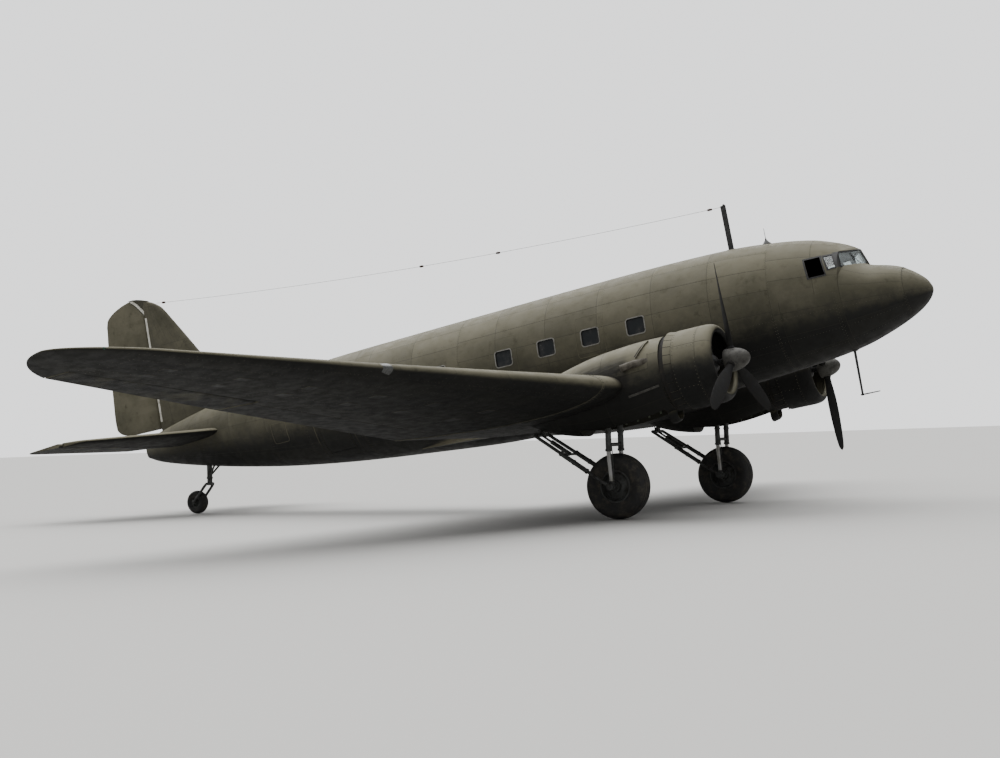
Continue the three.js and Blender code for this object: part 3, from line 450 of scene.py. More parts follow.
def wornMetal(name, base, dirt, roughness, metallic, scale=12.0, bump=0.0008, chips=None, shine=0.3):
    # Painted or bare metal with dirt, a few scratches and chips
    material, tree, shader = newMaterial(name, roughness, metallic)
    plug(shader, {"Specular IOR Level": shine})
    vector = levelPlace(tree)[0]
    cloud = noise(vector, scale, 5.0, 0.65)
    fine = noise(vector, scale * 9, 4.0, 0.7)
    tone = mixColour(between(cloud, 0.42, 0.72), base, dirt)
    if chips:
        tone = mixColour(between(fine, 0.73, 0.76), tone, chips)
    rough = between(cloud, 0.3, 0.75, roughness - 0.08, min(1.0, roughness + 0.2))
    paint(shader, tone, rough, times(fine, bump))
    return material


def clearGlass(name, tint, roughness=0.015):
    material, tree, shader = newMaterial(name, roughness)
    film = noise(levelPlace(tree)[0], 7.0, 4.0, 0.6)
    plug(shader, {"Transmission Weight": 0.92, "IOR": 1.45, "Base Color": mixColour(between(film, 0.4, 0.8), tint,
        tuple(v * 0.72 for v in tint)), "Roughness": between(film, 0.4, 0.8, roughness, roughness + 0.05)})
    return material


def tyreRubber(name):
    material, tree, shader = newMaterial(name, 0.85)
    vector = levelPlace(tree)[0]
    dust = noise(vector, 6.0, 6.0, 0.7)
    fine = noise(vector, 90.0, 3.0, 0.6)
    tone = mixColour(between(dust, 0.42, 0.75), (0.014, 0.014, 0.014), (0.075, 0.066, 0.052))
    paint(shader, tone, between(dust, 0.3, 0.7, 0.72, 0.95), times(fine, 0.001))
    return material


exhaustSoot = [(4.75, 8.6, 3.44, -0.62, 0.3)]
looks = {
    # the limit sets how high the near black reaches; on the hull and most of all the nacelle it is pulled up the
    # sides as painted shade
    "hull": airframePaint("hullPaint", -0.14),
    "wing": airframePaint("wingPaint", -0.3, 0.8, blackSootAndShade=exhaustSoot),
    "nacelle": airframePaint("nacellePaint", 0.14, blackSootAndShade=exhaustSoot),
    "plain": airframePaint("smallPartPaint", -0.5, panels=False),
    "fabric": airframePaint("wingFabric", -0.3, roughness=0.78, panels=False, fabric=True),
    "rudder": airframePaint("rudderFabric", -2.0, roughness=0.78, panels=False, fabric=True),
    "gear": wornMetal("gearPaint", (0.060, 0.062, 0.060), (0.024, 0.022, 0.018), 0.55, 0.3, 9.0,
        chips=(0.2, 0.2, 0.2)),
    "blade": wornMetal("bladePaint", (0.009, 0.009, 0.009), (0.017, 0.016, 0.0145), 0.7, 0.0, 8.0,
        chips=(0.04, 0.04, 0.04), shine=0.1),
    "glass": clearGlass("clearGlass", (0.72, 0.78, 0.78)),
    "rubber": tyreRubber("tyreRubber"),
}
metals = {  # name, base, dirt, roughness, metallic, scale of the dirt, bump
    "piston": ("pistonSteel", (0.26, 0.26, 0.255), (0.15, 0.135, 0.11), 0.32, 1.0, 2.5, 0.0001),
    "paleEdge": ("paleEdge", (0.52, 0.51, 0.46), (0.27, 0.26, 0.22), 0.55, 0.1, 7.0),
    "engine": ("engineMetal", (0.055, 0.055, 0.056), (0.018, 0.016, 0.013), 0.45, 0.75, 22.0),
    "cylinder": ("cylinderFins", (0.17, 0.165, 0.16), (0.04, 0.035, 0.03), 0.5, 0.8, 30.0),
    "spinner": ("spinnerMetal", (0.058, 0.056, 0.050), (0.027, 0.025, 0.022), 0.5, 0.3, 7.0),
    "exhaust": ("burntSteel", (0.098, 0.089, 0.073), (0.046, 0.040, 0.032), 0.65, 0.3, 8.0),
    # cabin panes: opaque near black, painted shade for the unlit cabin behind them
    "cabinShadePane": ("paintedShadeCabinPane", (0.012, 0.014, 0.016), (0.03, 0.03, 0.03), 0.12, 0.0, 5.0, 0.0001),
    "leather": ("seatLeather", (0.085, 0.045, 0.024), (0.03, 0.018, 0.012), 0.55, 0.0, 16.0, 0.0012),
    "black": ("blackEnamel", (0.02, 0.02, 0.02), (0.05, 0.05, 0.048), 0.4, 0.2, 20.0),
    "interior": ("cockpitGreen", (0.10, 0.12, 0.085), (0.05, 0.055, 0.04), 0.6, 0.0, 10.0),
    "rim": ("bareRims", (0.20, 0.195, 0.18), (0.09, 0.085, 0.07), 0.45, 0.4, 11.0),
    "lamp": ("lampGlass", (0.07, 0.072, 0.07), (0.04, 0.04, 0.038), 0.25, 0.0, 9.0, 0.0001),
    "redGlass": ("redGlass", (0.10, 0.008, 0.007), (0.06, 0.006, 0.005), 0.2, 0.0, 9.0, 0.0001),
    "greenGlass": ("greenGlass", (0.008, 0.045, 0.024), (0.006, 0.03, 0.018), 0.2, 0.0, 9.0, 0.0001),
    "fastener": ("fastenerHeads", (0.070, 0.066, 0.046), (0.03, 0.028, 0.022), 0.5, 0.25, 14.0),
    # black dial faces, and painted shade on the nacelle's slots and under its gills
    "blackSootAndShade": ("blackAndPaintedShade", (0.012, 0.011, 0.010), (0.03, 0.026, 0.02), 0.8, 0.1, 14.0),
    "insulator": ("brownGlaze", (0.05, 0.022, 0.012), (0.02, 0.012, 0.01), 0.2, 0.0, 20.0, 0.0001),
}
looks.update({look: wornMetal(*settings) for look, settings in metals.items()})
slots = {
    "hull_paint": ("hull", "wing", "nacelle", "plain", "paleEdge", "rim", "fastener"),
    "fabric_paint": ("fabric", "rudder"),
    "gear_paint": ("gear", "piston", "interior"),
    "dark_metal": ("engine", "cylinder", "blade", "spinner", "exhaust", "black", "blackSootAndShade", "insulator"),
    "glass": ("glass", "cabinShadePane", "lamp", "redGlass", "greenGlass"),
    "tyre_rubber": ("rubber",),
    "leather": ("leather",),
}
slotOf = {look: slot for slot, group in slots.items() for look in group}
print("materials made:", len(looks))

# Fuselage sections: station, roof, belly, half width, height of the widest line
hullTable = [
    (0.008, 0.065, -0.060, 0.072, 0.005), (0.070, 0.184, -0.152, 0.212, 0.025),
    (0.180, 0.305, -0.258, 0.336, 0.055), (0.350, 0.442, -0.368, 0.456, 0.090),
    (0.600, 0.575, -0.488, 0.578, 0.124), (0.950, 0.700, -0.620, 0.702, 0.158),
    (1.400, 1.180, -0.753, 0.830, 0.190), (1.960, 1.400, -0.850, 0.930, 0.230),
    (2.750, 1.550, -0.934, 1.030, 0.270), (3.400, 1.625, -0.988, 1.090, 0.290),
    (4.400, 1.662, -1.050, 1.170, 0.310), (5.600, 1.674, -1.100, 1.220, 0.320),
    (7.200, 1.662, -1.115, 1.240, 0.320), (9.000, 1.640, -1.110, 1.235, 0.320),
    (11.00, 1.612, -0.970, 1.180, 0.345), (13.00, 1.575, -0.790, 1.050, 0.400),
    (14.60, 1.480, -0.590, 0.880, 0.450), (15.90, 1.350, -0.370, 0.690, 0.500),
    (17.00, 1.190, -0.150, 0.500, 0.530), (17.90, 1.030, 0.060, 0.330, 0.545),
    (18.50, 0.900, 0.230, 0.200, 0.560), (18.85, 0.780, 0.380, 0.090, 0.575),
]
deckLine = [(0, 0.065), (0.350, 0.442), (0.600, 0.575), (0.950, 0.673), (1.050, 0.713), (1.150, 0.778),
    (1.400, 0.965), (1.650, 1.130), (2.000, 1.330), (2.900, 1.450)]
browLine = [(0.600, 0.520), (0.880, 0.660), (1.000, 0.860), (1.110, 1.018), (1.165, 1.054), (1.240, 1.097),
    (1.400, 1.187), (1.670, 1.305), (1.960, 1.405), (2.400, 1.500), (2.750, 1.553), (2.900, 1.568)]
noseTip, tailEnd = hullTable[0][0], hullTable[-1][0]
hull = {"points": 96, "power": 2.15, "step": 0.16}
frames = {"noseCap": 0.42, "cockpit": 2.75, "cabin": 9.4, "doorway": 12.1, "tail": 13.56, "cone": 17.9}


def hullRing(station, inset=0.0, roof=None):
    top, bottom, halfWidth, widest = rowAt(hullTable, station)[1:]
    if roof:
        top = rowAt(roof, station)[1]
    ring = []
    for angle in circle(hull["points"], 0.5):
        c, s = squarish(angle - pi / 2, 2 / hull["power"])
        rise = top - widest - inset if s > 0 else widest - bottom - inset
        ring.append(at(station, c * (halfWidth - inset), widest + s * rise))
    return ring


def hullLoft(name, stations, inset=0.0, roof=None):
    return loft(name, [hullRing(s, inset, roof) for s in stations])


windscreen = {"station": 1.048, "z": 0.750, "sweep": 0.56, "rake": 0.346, "low": 0.690, "high": 1.640, "wide": 1.300,
    "cabinLow": 0.280, "roofZ": 1.022, "roofRake": 1.0}


def behindWindscreen(name, inset, bottom):
    rear = frames["cockpit"] + 0.2
    wide = windscreen["wide"]

    def edge(y, z):
        rise = max(z, windscreen["low"]) - windscreen["z"]
        roof = windscreen["roofRake"] * max(z - windscreen["roofZ"], 0)
        return windscreen["station"] + inset + windscreen["sweep"] * abs(y) + windscreen["rake"] * rise + roof

    heights = sorted({bottom, windscreen["low"], windscreen["roofZ"], windscreen["high"]})
    rings = [[at(edge(0, z), 0, z), at(edge(wide, z), wide, z), at(rear, wide, z), at(rear, -wide, z),
        at(edge(wide, z), -wide, z)] for z in heights if z >= bottom]
    return loft(name, rings)


def onWindscreen(y, z, proud):
    return at(windscreen["station"] - proud + windscreen["sweep"] * abs(y) + windscreen["rake"]
        * (z - windscreen["z"]), y, z)


panes = {
    "windscreen": [(0.045, 0.735), (0.045, 1.014), (0.565, 0.984), (0.665, 0.715)],
    "corner_window": [(1.485, 0.708), (1.545, 0.965), (1.700, 0.965), (1.615, 0.695)],
    "side_window": [(1.680, 0.605), (1.752, 0.975), (2.045, 0.968), (1.985, 0.600)],
}
cockpit = {"wall": 0.040, "floor": -0.250, "panelStation": 1.350, "frameWidth": 0.022, "frameProud": 0.006,
    "frameLap": 0.006, "post": [(1.385, 0.700), (1.490, 0.700), (1.548, 0.975), (1.455, 0.992)]}


def grown(outline, gap):
    # The outline with each corner moved away from its middle
    middle = [sum(values) / len(outline) for values in zip(*outline)]
    return [tuple(v + gap * copysign(1, v - m) for v, m in zip(point, middle)) for point in outline]


def panePrism(kind, sign, gap):
    outline = grown(panes[kind], gap)
    if kind == "windscreen":
        return prismAcrossX("pane", [(sign * y, z) for y, z in outline], 0.700, 1.650)
    return prismAcrossY("pane", outline, sign * 0.400, sign * 1.200)


deckStations = spread(frames["noseCap"] + seam, frames["cockpit"], 0.06)
roofStations = spread(0.880, frames["cockpit"], 0.05)


def cockpitCabin(inset, post):
    cabin = hullLoft("cabin", roofStations, inset, browLine)
    return common(cabin, behindWindscreen("front", post, windscreen["cabinLow"]))


def buildCockpit():
    outside = together(hullLoft("nose", deckStations, 0.0, deckLine), cockpitCabin(0.0, 0.0))
    wall, low, rear = cockpit["wall"], windscreen["low"], frames["cockpit"]
    room = hullLoft("room", spread(0.9, rear + 0.01, 0.06), wall, browLine)
    above = behindWindscreen("above", wall * 1.2, low)
    below = block("below", cockpit["panelStation"], rear + 0.2, -1.3, 1.3, cockpit["floor"], low + 0.001)
    common(below, behindWindscreen("belowFront", wall * 1.2, -1.0))
    hollow = common(room, together(above, below))
    openings = [panePrism(kind, sign, 0.0) for kind in panes for sign in sides.values()]
    shell = cut(outside, hollow, *openings)
    finishPiece(shell, "cockpit_skin", "hull", "cockpit_shell")
    proud, lap = cockpit["frameProud"], cockpit["frameLap"]

    def windowFrame(outside, *inside):
        layer = cut(cockpitCabin(-proud, -proud * 1.2), cockpitCabin(lap, 0.007))
        return cut(common(layer, outside), *inside)

    rims = [windowFrame(panePrism(kind, sign, cockpit["frameWidth"]), panePrism(kind, sign, -lap)) for kind in panes
        for sign in sides.values()]
    rims += [windowFrame(prismAcrossY("post", cockpit["post"], sign * 0.4, sign * 1.2),
        *(panePrism(kind, sign, -lap) for kind in ("windscreen", "corner_window"))) for sign in sides.values()]
    finishPiece(rims, "cockpit_window_frames", "black", slotName="gear_paint")
    for side, sign in sides.items():
        slab = cut(cockpitCabin(0.004, 0.001), cockpitCabin(-0.020, 0.007))
        finishPiece(common(slab, panePrism("windscreen", sign, -0.001)), "windscreen_glass_" + side, "glass",
            "windscreen_" + side)


noseRings = [hullRing(frames["noseCap"] - (frames["noseCap"] - noseTip) * sin(pi / 2 * i / 24)) for i in range(25)]
tip = hullRing(noseTip)
middle = sum(tip, Vector()) / len(tip)
noseRings += [[middle + (p - middle) * share + forward * 0.006 * (1 - share ** 2) - forward * 0.006 for p in tip]
    for share in (0.8, 0.5, 0.2, 0.02)]
finishPiece(loft("nose", noseRings), "nose_skin", "hull", "nose_cap")
buildCockpit()
print("nose and cockpit made")

# Wing planform and section
wing = {"leading": 4.930, "trailing": 9.270, "leadingZ": -0.815, "incidence": 0.035, "sweep": 0.272, "taper": 0.025,
    "dihedral": 0.096, "tipStart": 12.7, "tipMiddle": 0.34, "rootThickness": 0.15, "tipThickness": 0.07,
    "camber": 0.01, "edge": 0.004, "centreHalf": 4.27, "halfSpan": 14.13, "lastRing": 14.122, "rootY": 1.3,
    "points": 34}


def wingEdges(y):
    out = max(0.0, y - wing["centreHalf"])
    leading = wing["leading"] + wing["sweep"] * out
    trailing = wing["trailing"] - wing["taper"] * out
    if y > wing["tipStart"]:
        t = min((y - wing["tipStart"]) / (wing["halfSpan"] - wing["tipStart"]), 0.999)
        shrink = 1 - sqrt(1 - t * t)
        chord = trailing - leading
        leading += chord * wing["tipMiddle"] * shrink
        trailing -= chord * (1 - wing["tipMiddle"]) * shrink
    share = out / (wing["halfSpan"] - wing["centreHalf"])
    return leading, trailing, mix(wing["rootThickness"], wing["tipThickness"],
        share), wing["leadingZ"] + wing["dihedral"] * out


def skinHeight(y, share, side):
    leading, trailing, thickness, z = wingEdges(y)
    chord = trailing - leading
    half = 5 * thickness * (0.2969 * sqrt(share) - 0.126 * share - 0.3516 * share ** 2 + 0.2843 * share ** 3 - 0.1036
        * share ** 4)
    crest = 0.4
    if share < crest:
        mean = wing["camber"] / crest ** 2 * (2 * crest * share - share ** 2)
    else:
        mean = wing["camber"] / (1 - crest) ** 2 * (1 - 2 * crest + 2 * crest * share - share ** 2)
    return z - wing["incidence"] * share * chord + chord * mean + side * (chord * half + wing["edge"])


def wingPoint(y, share, side, off=0.0):
    leading, trailing = wingEdges(abs(y))[:2]
    return at(leading + share * (trailing - leading), y, skinHeight(abs(y), share, side) + side * off)


def sectionSpacing():
    return [(1 - cos(pi * i / (wing["points"] - 1))) / 2 for i in range(wing["points"])]


def wingRing(y, grow=0.0):
    shares = sectionSpacing()
    upper = [wingPoint(y, share, 1, grow) for share in reversed(shares)]
    lower = [wingPoint(y, share, -1, grow) for share in shares]
    ring = upper + lower
    for point, share in zip(ring, shares[::-1] + shares):
        if share in (0.0, 1.0):
            point.x += grow * (1 if share == 0.0 else -1)
    return ring


def wingLoft(name, places, grow=0.0):
    return loft(name, [wingRing(y, grow) for y in places])


aileron = {"inner": 9.5, "outer": 13.25, "chordShare": 0.27, "endGap": 0.036, "brackets": (9.9, 11.4, 12.9)}
flapSpans = {"inner": (1.33, 4.23), "outer": (4.31, 9.44)}
flapShape = {"hingeShare": 0.77, "rearShare": 0.975, "hingeDepth": 0.024, "rearDepth": 0.009}


def surfaceRing(hinge, edge, radius, across, tip=0.004, nose=12):
    along = (edge - hinge).normalized()
    square = (across - along * across.dot(along)).normalized()
    ring = []
    for i in range(nose + 1):
        angle = pi * (i / nose - 0.5)
        ring.append(hinge + square * (radius * sin(angle)) - along * (radius * cos(angle)))
    top = [hinge + square * radius, edge + across * tip]
    bottom = [edge - across * tip, hinge - square * radius]
    ring += [top[0].lerp(top[1], k / 6) for k in range(1, 7)]
    ring += [bottom[0].lerp(bottom[1], k / 6) for k in range(0, 6)]
    return ring


def aileronSection(y):
    leading, trailing = wingEdges(y)[:2]
    share = 1 - aileron["chordShare"]
    top, bottom = (skinHeight(y, share, side) for side in (1, -1))
    endZ = (skinHeight(y, 1, 1) + skinHeight(y, 1, -1)) / 2
    return (leading + share * (trailing - leading), (top + bottom) / 2, (top - bottom) / 2, trailing, endZ)


def aileronAt(y):
    first, last = aileronSection(aileron["inner"]), aileronSection(aileron["outer"])
    t = (y - aileron["inner"]) / (aileron["outer"] - aileron["inner"])
    return [mix(a, b, t) for a, b in zip(first, last)]


def ribbed(places, ribs, proud=0.0035, width=0.03):
    # Places along a fabric surface with a raised tape at each rib, as (place, height) pairs
    rows = [(place, 0.0) for place in places]
    for rib in ribs:
        rows += [(rib - width, 0.0), (rib - width * 0.4, proud), (rib + width * 0.4, proud), (rib + width, 0.0)]
    return sorted(rows)


def aileronPiece(sign):
    inner, outer = aileron["inner"] + aileron["endGap"], aileron["outer"] - aileron["endGap"]
    rows = ribbed([inner, outer], spread(inner + 0.12, outer - 0.12, 0.34), 0.003)
    rings = []
    for y, proud in rows:
        station, z, radius, trailing, endZ = aileronAt(y)
        rings.append(surfaceRing(at(station, sign * y, z), at(trailing, sign * y, endZ), radius - 0.003 + proud, up,
            wing["edge"]))
    return loft("aileron", rings)


def aileronBay(sign):
    a, b = aileronSection(aileron["inner"]), aileronSection(aileron["outer"])
    front = [section[0] - section[2] - clearance for section in (a, b)]
    rear = wing["trailing"] + 0.2
    outline = [(front[0], sign * aileron["inner"]), (front[1], sign * aileron["outer"]),
        (rear, sign * aileron["outer"]), (rear, sign * aileron["inner"])]
    return prismAcrossZ("bay", outline, -1.5, 1.5)


def hingeBracket(hinge, radius, gap, across, width=0.04, height=0.024):
    side = forward.cross(across)
    rings = []
    for along in (radius + 2 * seam, radius + gap + 0.025):
        rings.append([hinge + forward * along + side * (w * width / 2) + across * (h * height / 2) for w,
            h in ((-1, -1), (1, -1), (1, 1), (-1, 1))])
    return loft("bracket", rings)


def flapPlate(name, span, sign, grow=0.0):
    first, last = flapShape["hingeShare"], flapShape["rearShare"]
    shares = [first + (last - first) * i / 6 for i in range(7)]
    inner, outer = span
    rings = []
    for y in spread(inner - grow, outer + grow, 0.5):
        def point(share, inside):
            t = (share - shares[0]) / (shares[-1] - shares[0])
            depth = mix(flapShape["hingeDepth"], flapShape["rearDepth"], t)
            aft = -grow if share == shares[0] else grow if share == shares[-1] else 0.0
            height = skinHeight(y, share, -1) + (depth + grow * 0.6 if inside else -grow * 4)
            leading, trailing = wingEdges(y)[:2]
            return at(leading + share * (trailing - leading) + aft, sign * y, height)
        rings.append([point(share, False) for share in shares] + [point(share, True) for share in reversed(shares)])
    return loft(name, rings)


def flapPins(span, sign):
    ends = [wingPoint(sign * y, flapShape["hingeShare"], -1) for y in span]
    along = (ends[1] - ends[0]).normalized()
    return [rod("pin", end + way * 0.014, end - way * 0.0071, 0.007) for end, way in zip(ends, (along, -along))]


centreWing = wingLoft("centreWing", [wing["centreHalf"] * k / 12 for k in range(-12, 13)])
cut(centreWing, *(flapPlate("recess", flapSpans["inner"], sign, clearance) for sign in sides.values()))
finishPiece(centreWing, "centre_wing_skin", "wing", "centre_wing")
for side, sign in sides.items():
    places = spread(wing["centreHalf"] + seam, wing["tipStart"], 0.5)
    places += [wing["tipStart"] + (wing["lastRing"] - wing["tipStart"]) * sin(pi / 2 * i / 14) for i in range(1, 15)]
    outer = wingLoft("outerWing", [sign * y for y in places])
    cut(outer, aileronBay(sign), flapPlate("recess", flapSpans["outer"], sign, clearance))
    brackets = []
    for y in aileron["brackets"]:
        station, z = aileronAt(y)[:2]
        brackets.append(hingeBracket(at(station, sign * y, z), aileronAt(y - 0.02)[2] + 2 * seam, clearance, up))
    finishPiece([outer, *brackets], f"outer_wing_skin_{side}", "wing", f"outer_wing_{side}")
    finishPiece(aileronPiece(sign), f"aileron_cover_{side}", "fabric", f"aileron_{side}", body=f"aileron_{side}")
    for kind, span in flapSpans.items():
        plate = [flapPlate("flap", span, sign), *flapPins(span, sign)]
        finishPiece(plate, f"{kind}_flap_skin_{side}", "wing", f"{kind}_flap_{side}", body=f"{kind}_flap_{side}")
print("wing made")

# Fuselage behind the cockpit
cabinWindows = {"stations": (5.40, 6.375, 7.35, 8.325, 9.9, 10.875, 11.65), "z": 0.48, "width": 0.37, "height": 0.32,
    "corner": 0.05, "depth": 0.05, "rimWidth": 0.018, "rimProud": 0.005}


def roundedOutline(centreS, centreZ, width, height, corner, steps=5):
    outline = []
    for cx, cz, start in ((1, 1, 0), (-1, 1, 90), (-1, -1, 180), (1, -1, 270)):
        for k in range(steps + 1):
            angle = radians(start + 90 * k / steps)
            outline.append((centreS + cx * (width / 2 - corner) + corner * cos(angle),
                centreZ + cz * (height / 2 - corner) + corner * sin(angle)))
    return outline


def windowPrism(station, sign, gap, y0=0.7, y1=1.4):
    outline = roundedOutline(station, cabinWindows["z"], cabinWindows["width"] + 2 * gap,
        cabinWindows["height"] + 2 * gap, cabinWindows["corner"] + gap)
    return prismAcrossY("window", outline, sign * y0, sign * y1)


def hullLayer(stations, outsideInset, insideInset):
    inside = hullLoft("inside", [stations[0] - 0.01, *stations[1:-1], stations[-1] + 0.01], insideInset)
    return cut(hullLoft("layer", stations, outsideInset), inside)


def windowLayer(station, sign, outsideInset, insideInset, gap):
    layer = hullLayer(spread(station - 0.3, station + 0.3, 0.1), outsideInset, insideInset)
    return common(layer, windowPrism(station, sign, gap))


def cutWindows(piece, start, end):
    for station in (s for s in cabinWindows["stations"] if start < s < end):
        for sign in sides.values():
            cut(piece, windowLayer(station, sign, -0.02, cabinWindows["depth"], 0.0))


def windowFittings():
    glasses, rims, depth = [], [], cabinWindows["depth"]
    for station in cabinWindows["stations"]:
        for sign in sides.values():
            # each pane is an opaque near-black sheet: painted shade for the unlit cabin behind it
            glasses.append(windowLayer(station, sign, depth - 0.025, depth - 0.001, -0.001))
            rim = windowLayer(station, sign, -cabinWindows["rimProud"], 0.004, cabinWindows["rimWidth"])
            rims.append(cut(rim, windowPrism(station, sign, -0.004)))
    finishPiece(glasses, "cabin_window_glass", "cabinShadePane")
    finishPiece(rims, "cabin_window_rims", "rim")


def hullSection(start, end):
    return hullLoft("hull", spread(start + seam, end, hull["step"]))


def buildFuselage():
    wingBody = wingLoft("wingBody", [-wing["centreHalf"], wing["centreHalf"]], seam)
    for name, node, start, end in (("centre", "centre", "cockpit", "cabin"),
            ("aft", "aft_cabin", "cabin", "doorway")):
        section = hullSection(frames[start], frames[end])
        if name == "centre":
            cut(section, wingBody)
        cutWindows(section, frames[start], frames[end])
        finishPiece(section, f"fuselage_{name}_skin", "hull", f"fuselage_{node}")
    windowFittings()


door = {"front": 12.45, "rear": 13.21, "low": -0.56, "high": 0.88, "corner": 0.16, "depth": 0.48, "wall": 0.045,
    "gap": 0.010, "hingeY": -1.116, "hinges": (-0.12, 0.54), "knuckle": 0.016, "knuckleHalf": 0.06}


def doorPrism(gap, y0, y1):
    front, rear, low, high, corner = (door[key] for key in ("front", "rear", "low", "high", "corner"))
    outline = [(front + gap, low + gap), (rear - gap, low + gap), (rear - gap, high - corner),
        (rear - corner, high - gap), (front + corner, high - gap), (front + gap, high - corner)]
    return prismAcrossY("door", outline, y0, y1)


def doorHinges(onHull):
    y, half, front = door["hingeY"], door["knuckleHalf"], door["front"]
    made = []
    for z in door["hinges"]:
        z0, z1 = (z - half, z + half) if onHull else (z + half + seam, z + 2 * half)
        made.append(rod("knuckle", at(front, y, z0), at(front, y, z1), door["knuckle"], 20))
        s0, s1 = (front - 0.07, front) if onHull else (front + 0.001, front + 0.08)
        made.append(block("leaf", s0, s1, y + 0.004, y + 0.11, z0, z1))
    return made


def buildDoorway():
    doorway = hullSection(frames["doorway"], frames["tail"])
    cut(doorway, doorPrism(0.0, -1.5, -door["depth"]))
    finishPiece([doorway, *doorHinges(True)], "fuselage_doorway_skin", "hull", "fuselage_doorway")
    stations = spread(frames["doorway"] + seam, frames["tail"], hull["step"])
    panel = common(hullLayer(stations, 0.0, door["wall"]), doorPrism(door["gap"], -1.5, -0.3))
    handle = tube("handle", [at(13.10, -1.02, 0.10), at(13.10, -1.075, 0.10), at(13.04, -1.075, 0.10),
        at(12.98, -1.075, 0.10)], 0.011)
    finishPiece([panel, handle, *doorHinges(False)], "passenger_door_skin", "hull", "passenger_door",
        body="passenger_door")


buildFuselage()
buildDoorway()
print("fuselage made")

# Tail surfaces
tailplane = {"z": 0.560, "hinge": 17.780, "half": 4.080, "rootLeading": 16.000, "tipLeading": 17.370,
    "trailing": 18.850, "rootHalf": 0.120, "tipHalf": 0.045, "tipStart": 3.750, "tipMiddle": 18.500, "inner": 0.430}
fin = {"gap": 0.014, "hinge": 18.380, "halfThickness": 0.105, "tipHalf": 0.040, "foot": 1.0, "height": 3.2}
finTable = [(0.9, 15.7), (1.5, 16.08), (2.0, 16.465), (2.6, 16.885), (3.2, 17.31), (3.6, 17.6), (3.85, 17.79),
    (4.02, 18.03), (4.12, 18.26)]
rudderTable = [(1.01, 19.35), (1.1, 19.6), (1.25, 19.73), (2.0, 19.71), (3.3, 19.62), (3.6, 19.585), (3.9, 19.53),
    (4.07, 19.29), (4.17, 19.0), (4.21, 18.8)]
sectionShares = [0.0, 0.008, 0.03, 0.07, 0.12, 0.22, 0.35, 0.52, 0.7, 0.85, 1.0]
sectionTable = [(0.0, 0.06), (0.03, 0.38), (0.12, 0.72), (0.35, 1.0), (0.7, 1.05), (1.0, 1.0)]


def finHalf(z):
    return fin["halfThickness"] + (fin["tipHalf"] - fin["halfThickness"]) * (z - fin["foot"]) / fin["height"]


def tailplaneEdges(y):
    t = abs(y) / tailplane["half"]
    leading = mix(tailplane["rootLeading"], tailplane["tipLeading"], t)
    trailing = tailplane["trailing"] - 0.060 * t
    if abs(y) > tailplane["tipStart"]:
        k = min((abs(y) - tailplane["tipStart"]) / (tailplane["half"] - tailplane["tipStart"]), 0.995)
        shrink = 1 - sqrt(1 - k * k)
        leading += (tailplane["tipMiddle"] - leading) * shrink
        trailing += (tailplane["tipMiddle"] - trailing) * shrink
    return leading, trailing, mix(tailplane["rootHalf"], tailplane["tipHalf"], t)


def fixedSection(leading, back, half, point):
    # A round-nosed section from its leading edge to the flat back in front of a hinge
    ring = []
    for side, shares in ((1, sectionShares), (-1, sectionShares[::-1])):
        for share in shares:
            ring.append(point(leading + share * (back - leading), side * half * rowAt(sectionTable, share)[1]))
    return ring


def buildTailplane():
    places = spread(-3.75, 3.75, 0.3)
    tips = [3.8, 3.85, 3.9, 3.94, 3.985]
    rings = []
    for y in [-tip for tip in reversed(tips)] + places + tips:
        leading, _, half = tailplaneEdges(y)
        back = tailplane["hinge"] - half - clearance
        rings.append(fixedSection(leading, back, half, lambda s, h: at(s, y, tailplane["z"] + h)))
    brackets = [hingeBracket(at(tailplane["hinge"], sign * y, tailplane["z"]), tailplaneEdges(y - 0.02)[2], clearance,
        up) for y in (0.9, 2.2, 3.4) for sign in sides.values()]
    body = loft("tailplane", rings)
    grownBody = loft("grown", [[p + up * (seam if p.z > tailplane["z"] else -seam) for p in ring] for ring in rings])
    finishPiece([body, *brackets], "tailplane_skin", "wing", "tailplane")
    tail = cut(hullSection(frames["tail"], frames["cone"]), grownBody)
    finishPiece(tail, "fuselage_tail_skin", "hull", "fuselage_tail")
    cone = hullLoft("cone", spread(frames["cone"] + seam, tailEnd, 0.1))
    finishPiece(cone, "tail_cone_skin", "hull", "tail_cone")
    for side, sign in sides.items():
        rings = []
        for y, proud in ribbed([tailplane["inner"], 0.76, 1.8, 2.8, 3.75, 3.84, 3.92, 3.985, 4.04, 4.072],
                spread(0.85, 3.65, 0.35), 0.003):
            _, trailing, half = tailplaneEdges(y)
            end = trailing - 0.42 * (1 - within((y - tailplane["inner"]) / 0.33))
            rings.append(surfaceRing(at(tailplane["hinge"], sign * y, tailplane["z"]),
                at(end, sign * y, tailplane["z"]), half - 0.003 + proud, up))
        finishPiece(loft("elevator", rings), f"elevator_cover_{side}", "fabric", f"elevator_{side}", body="elevators")


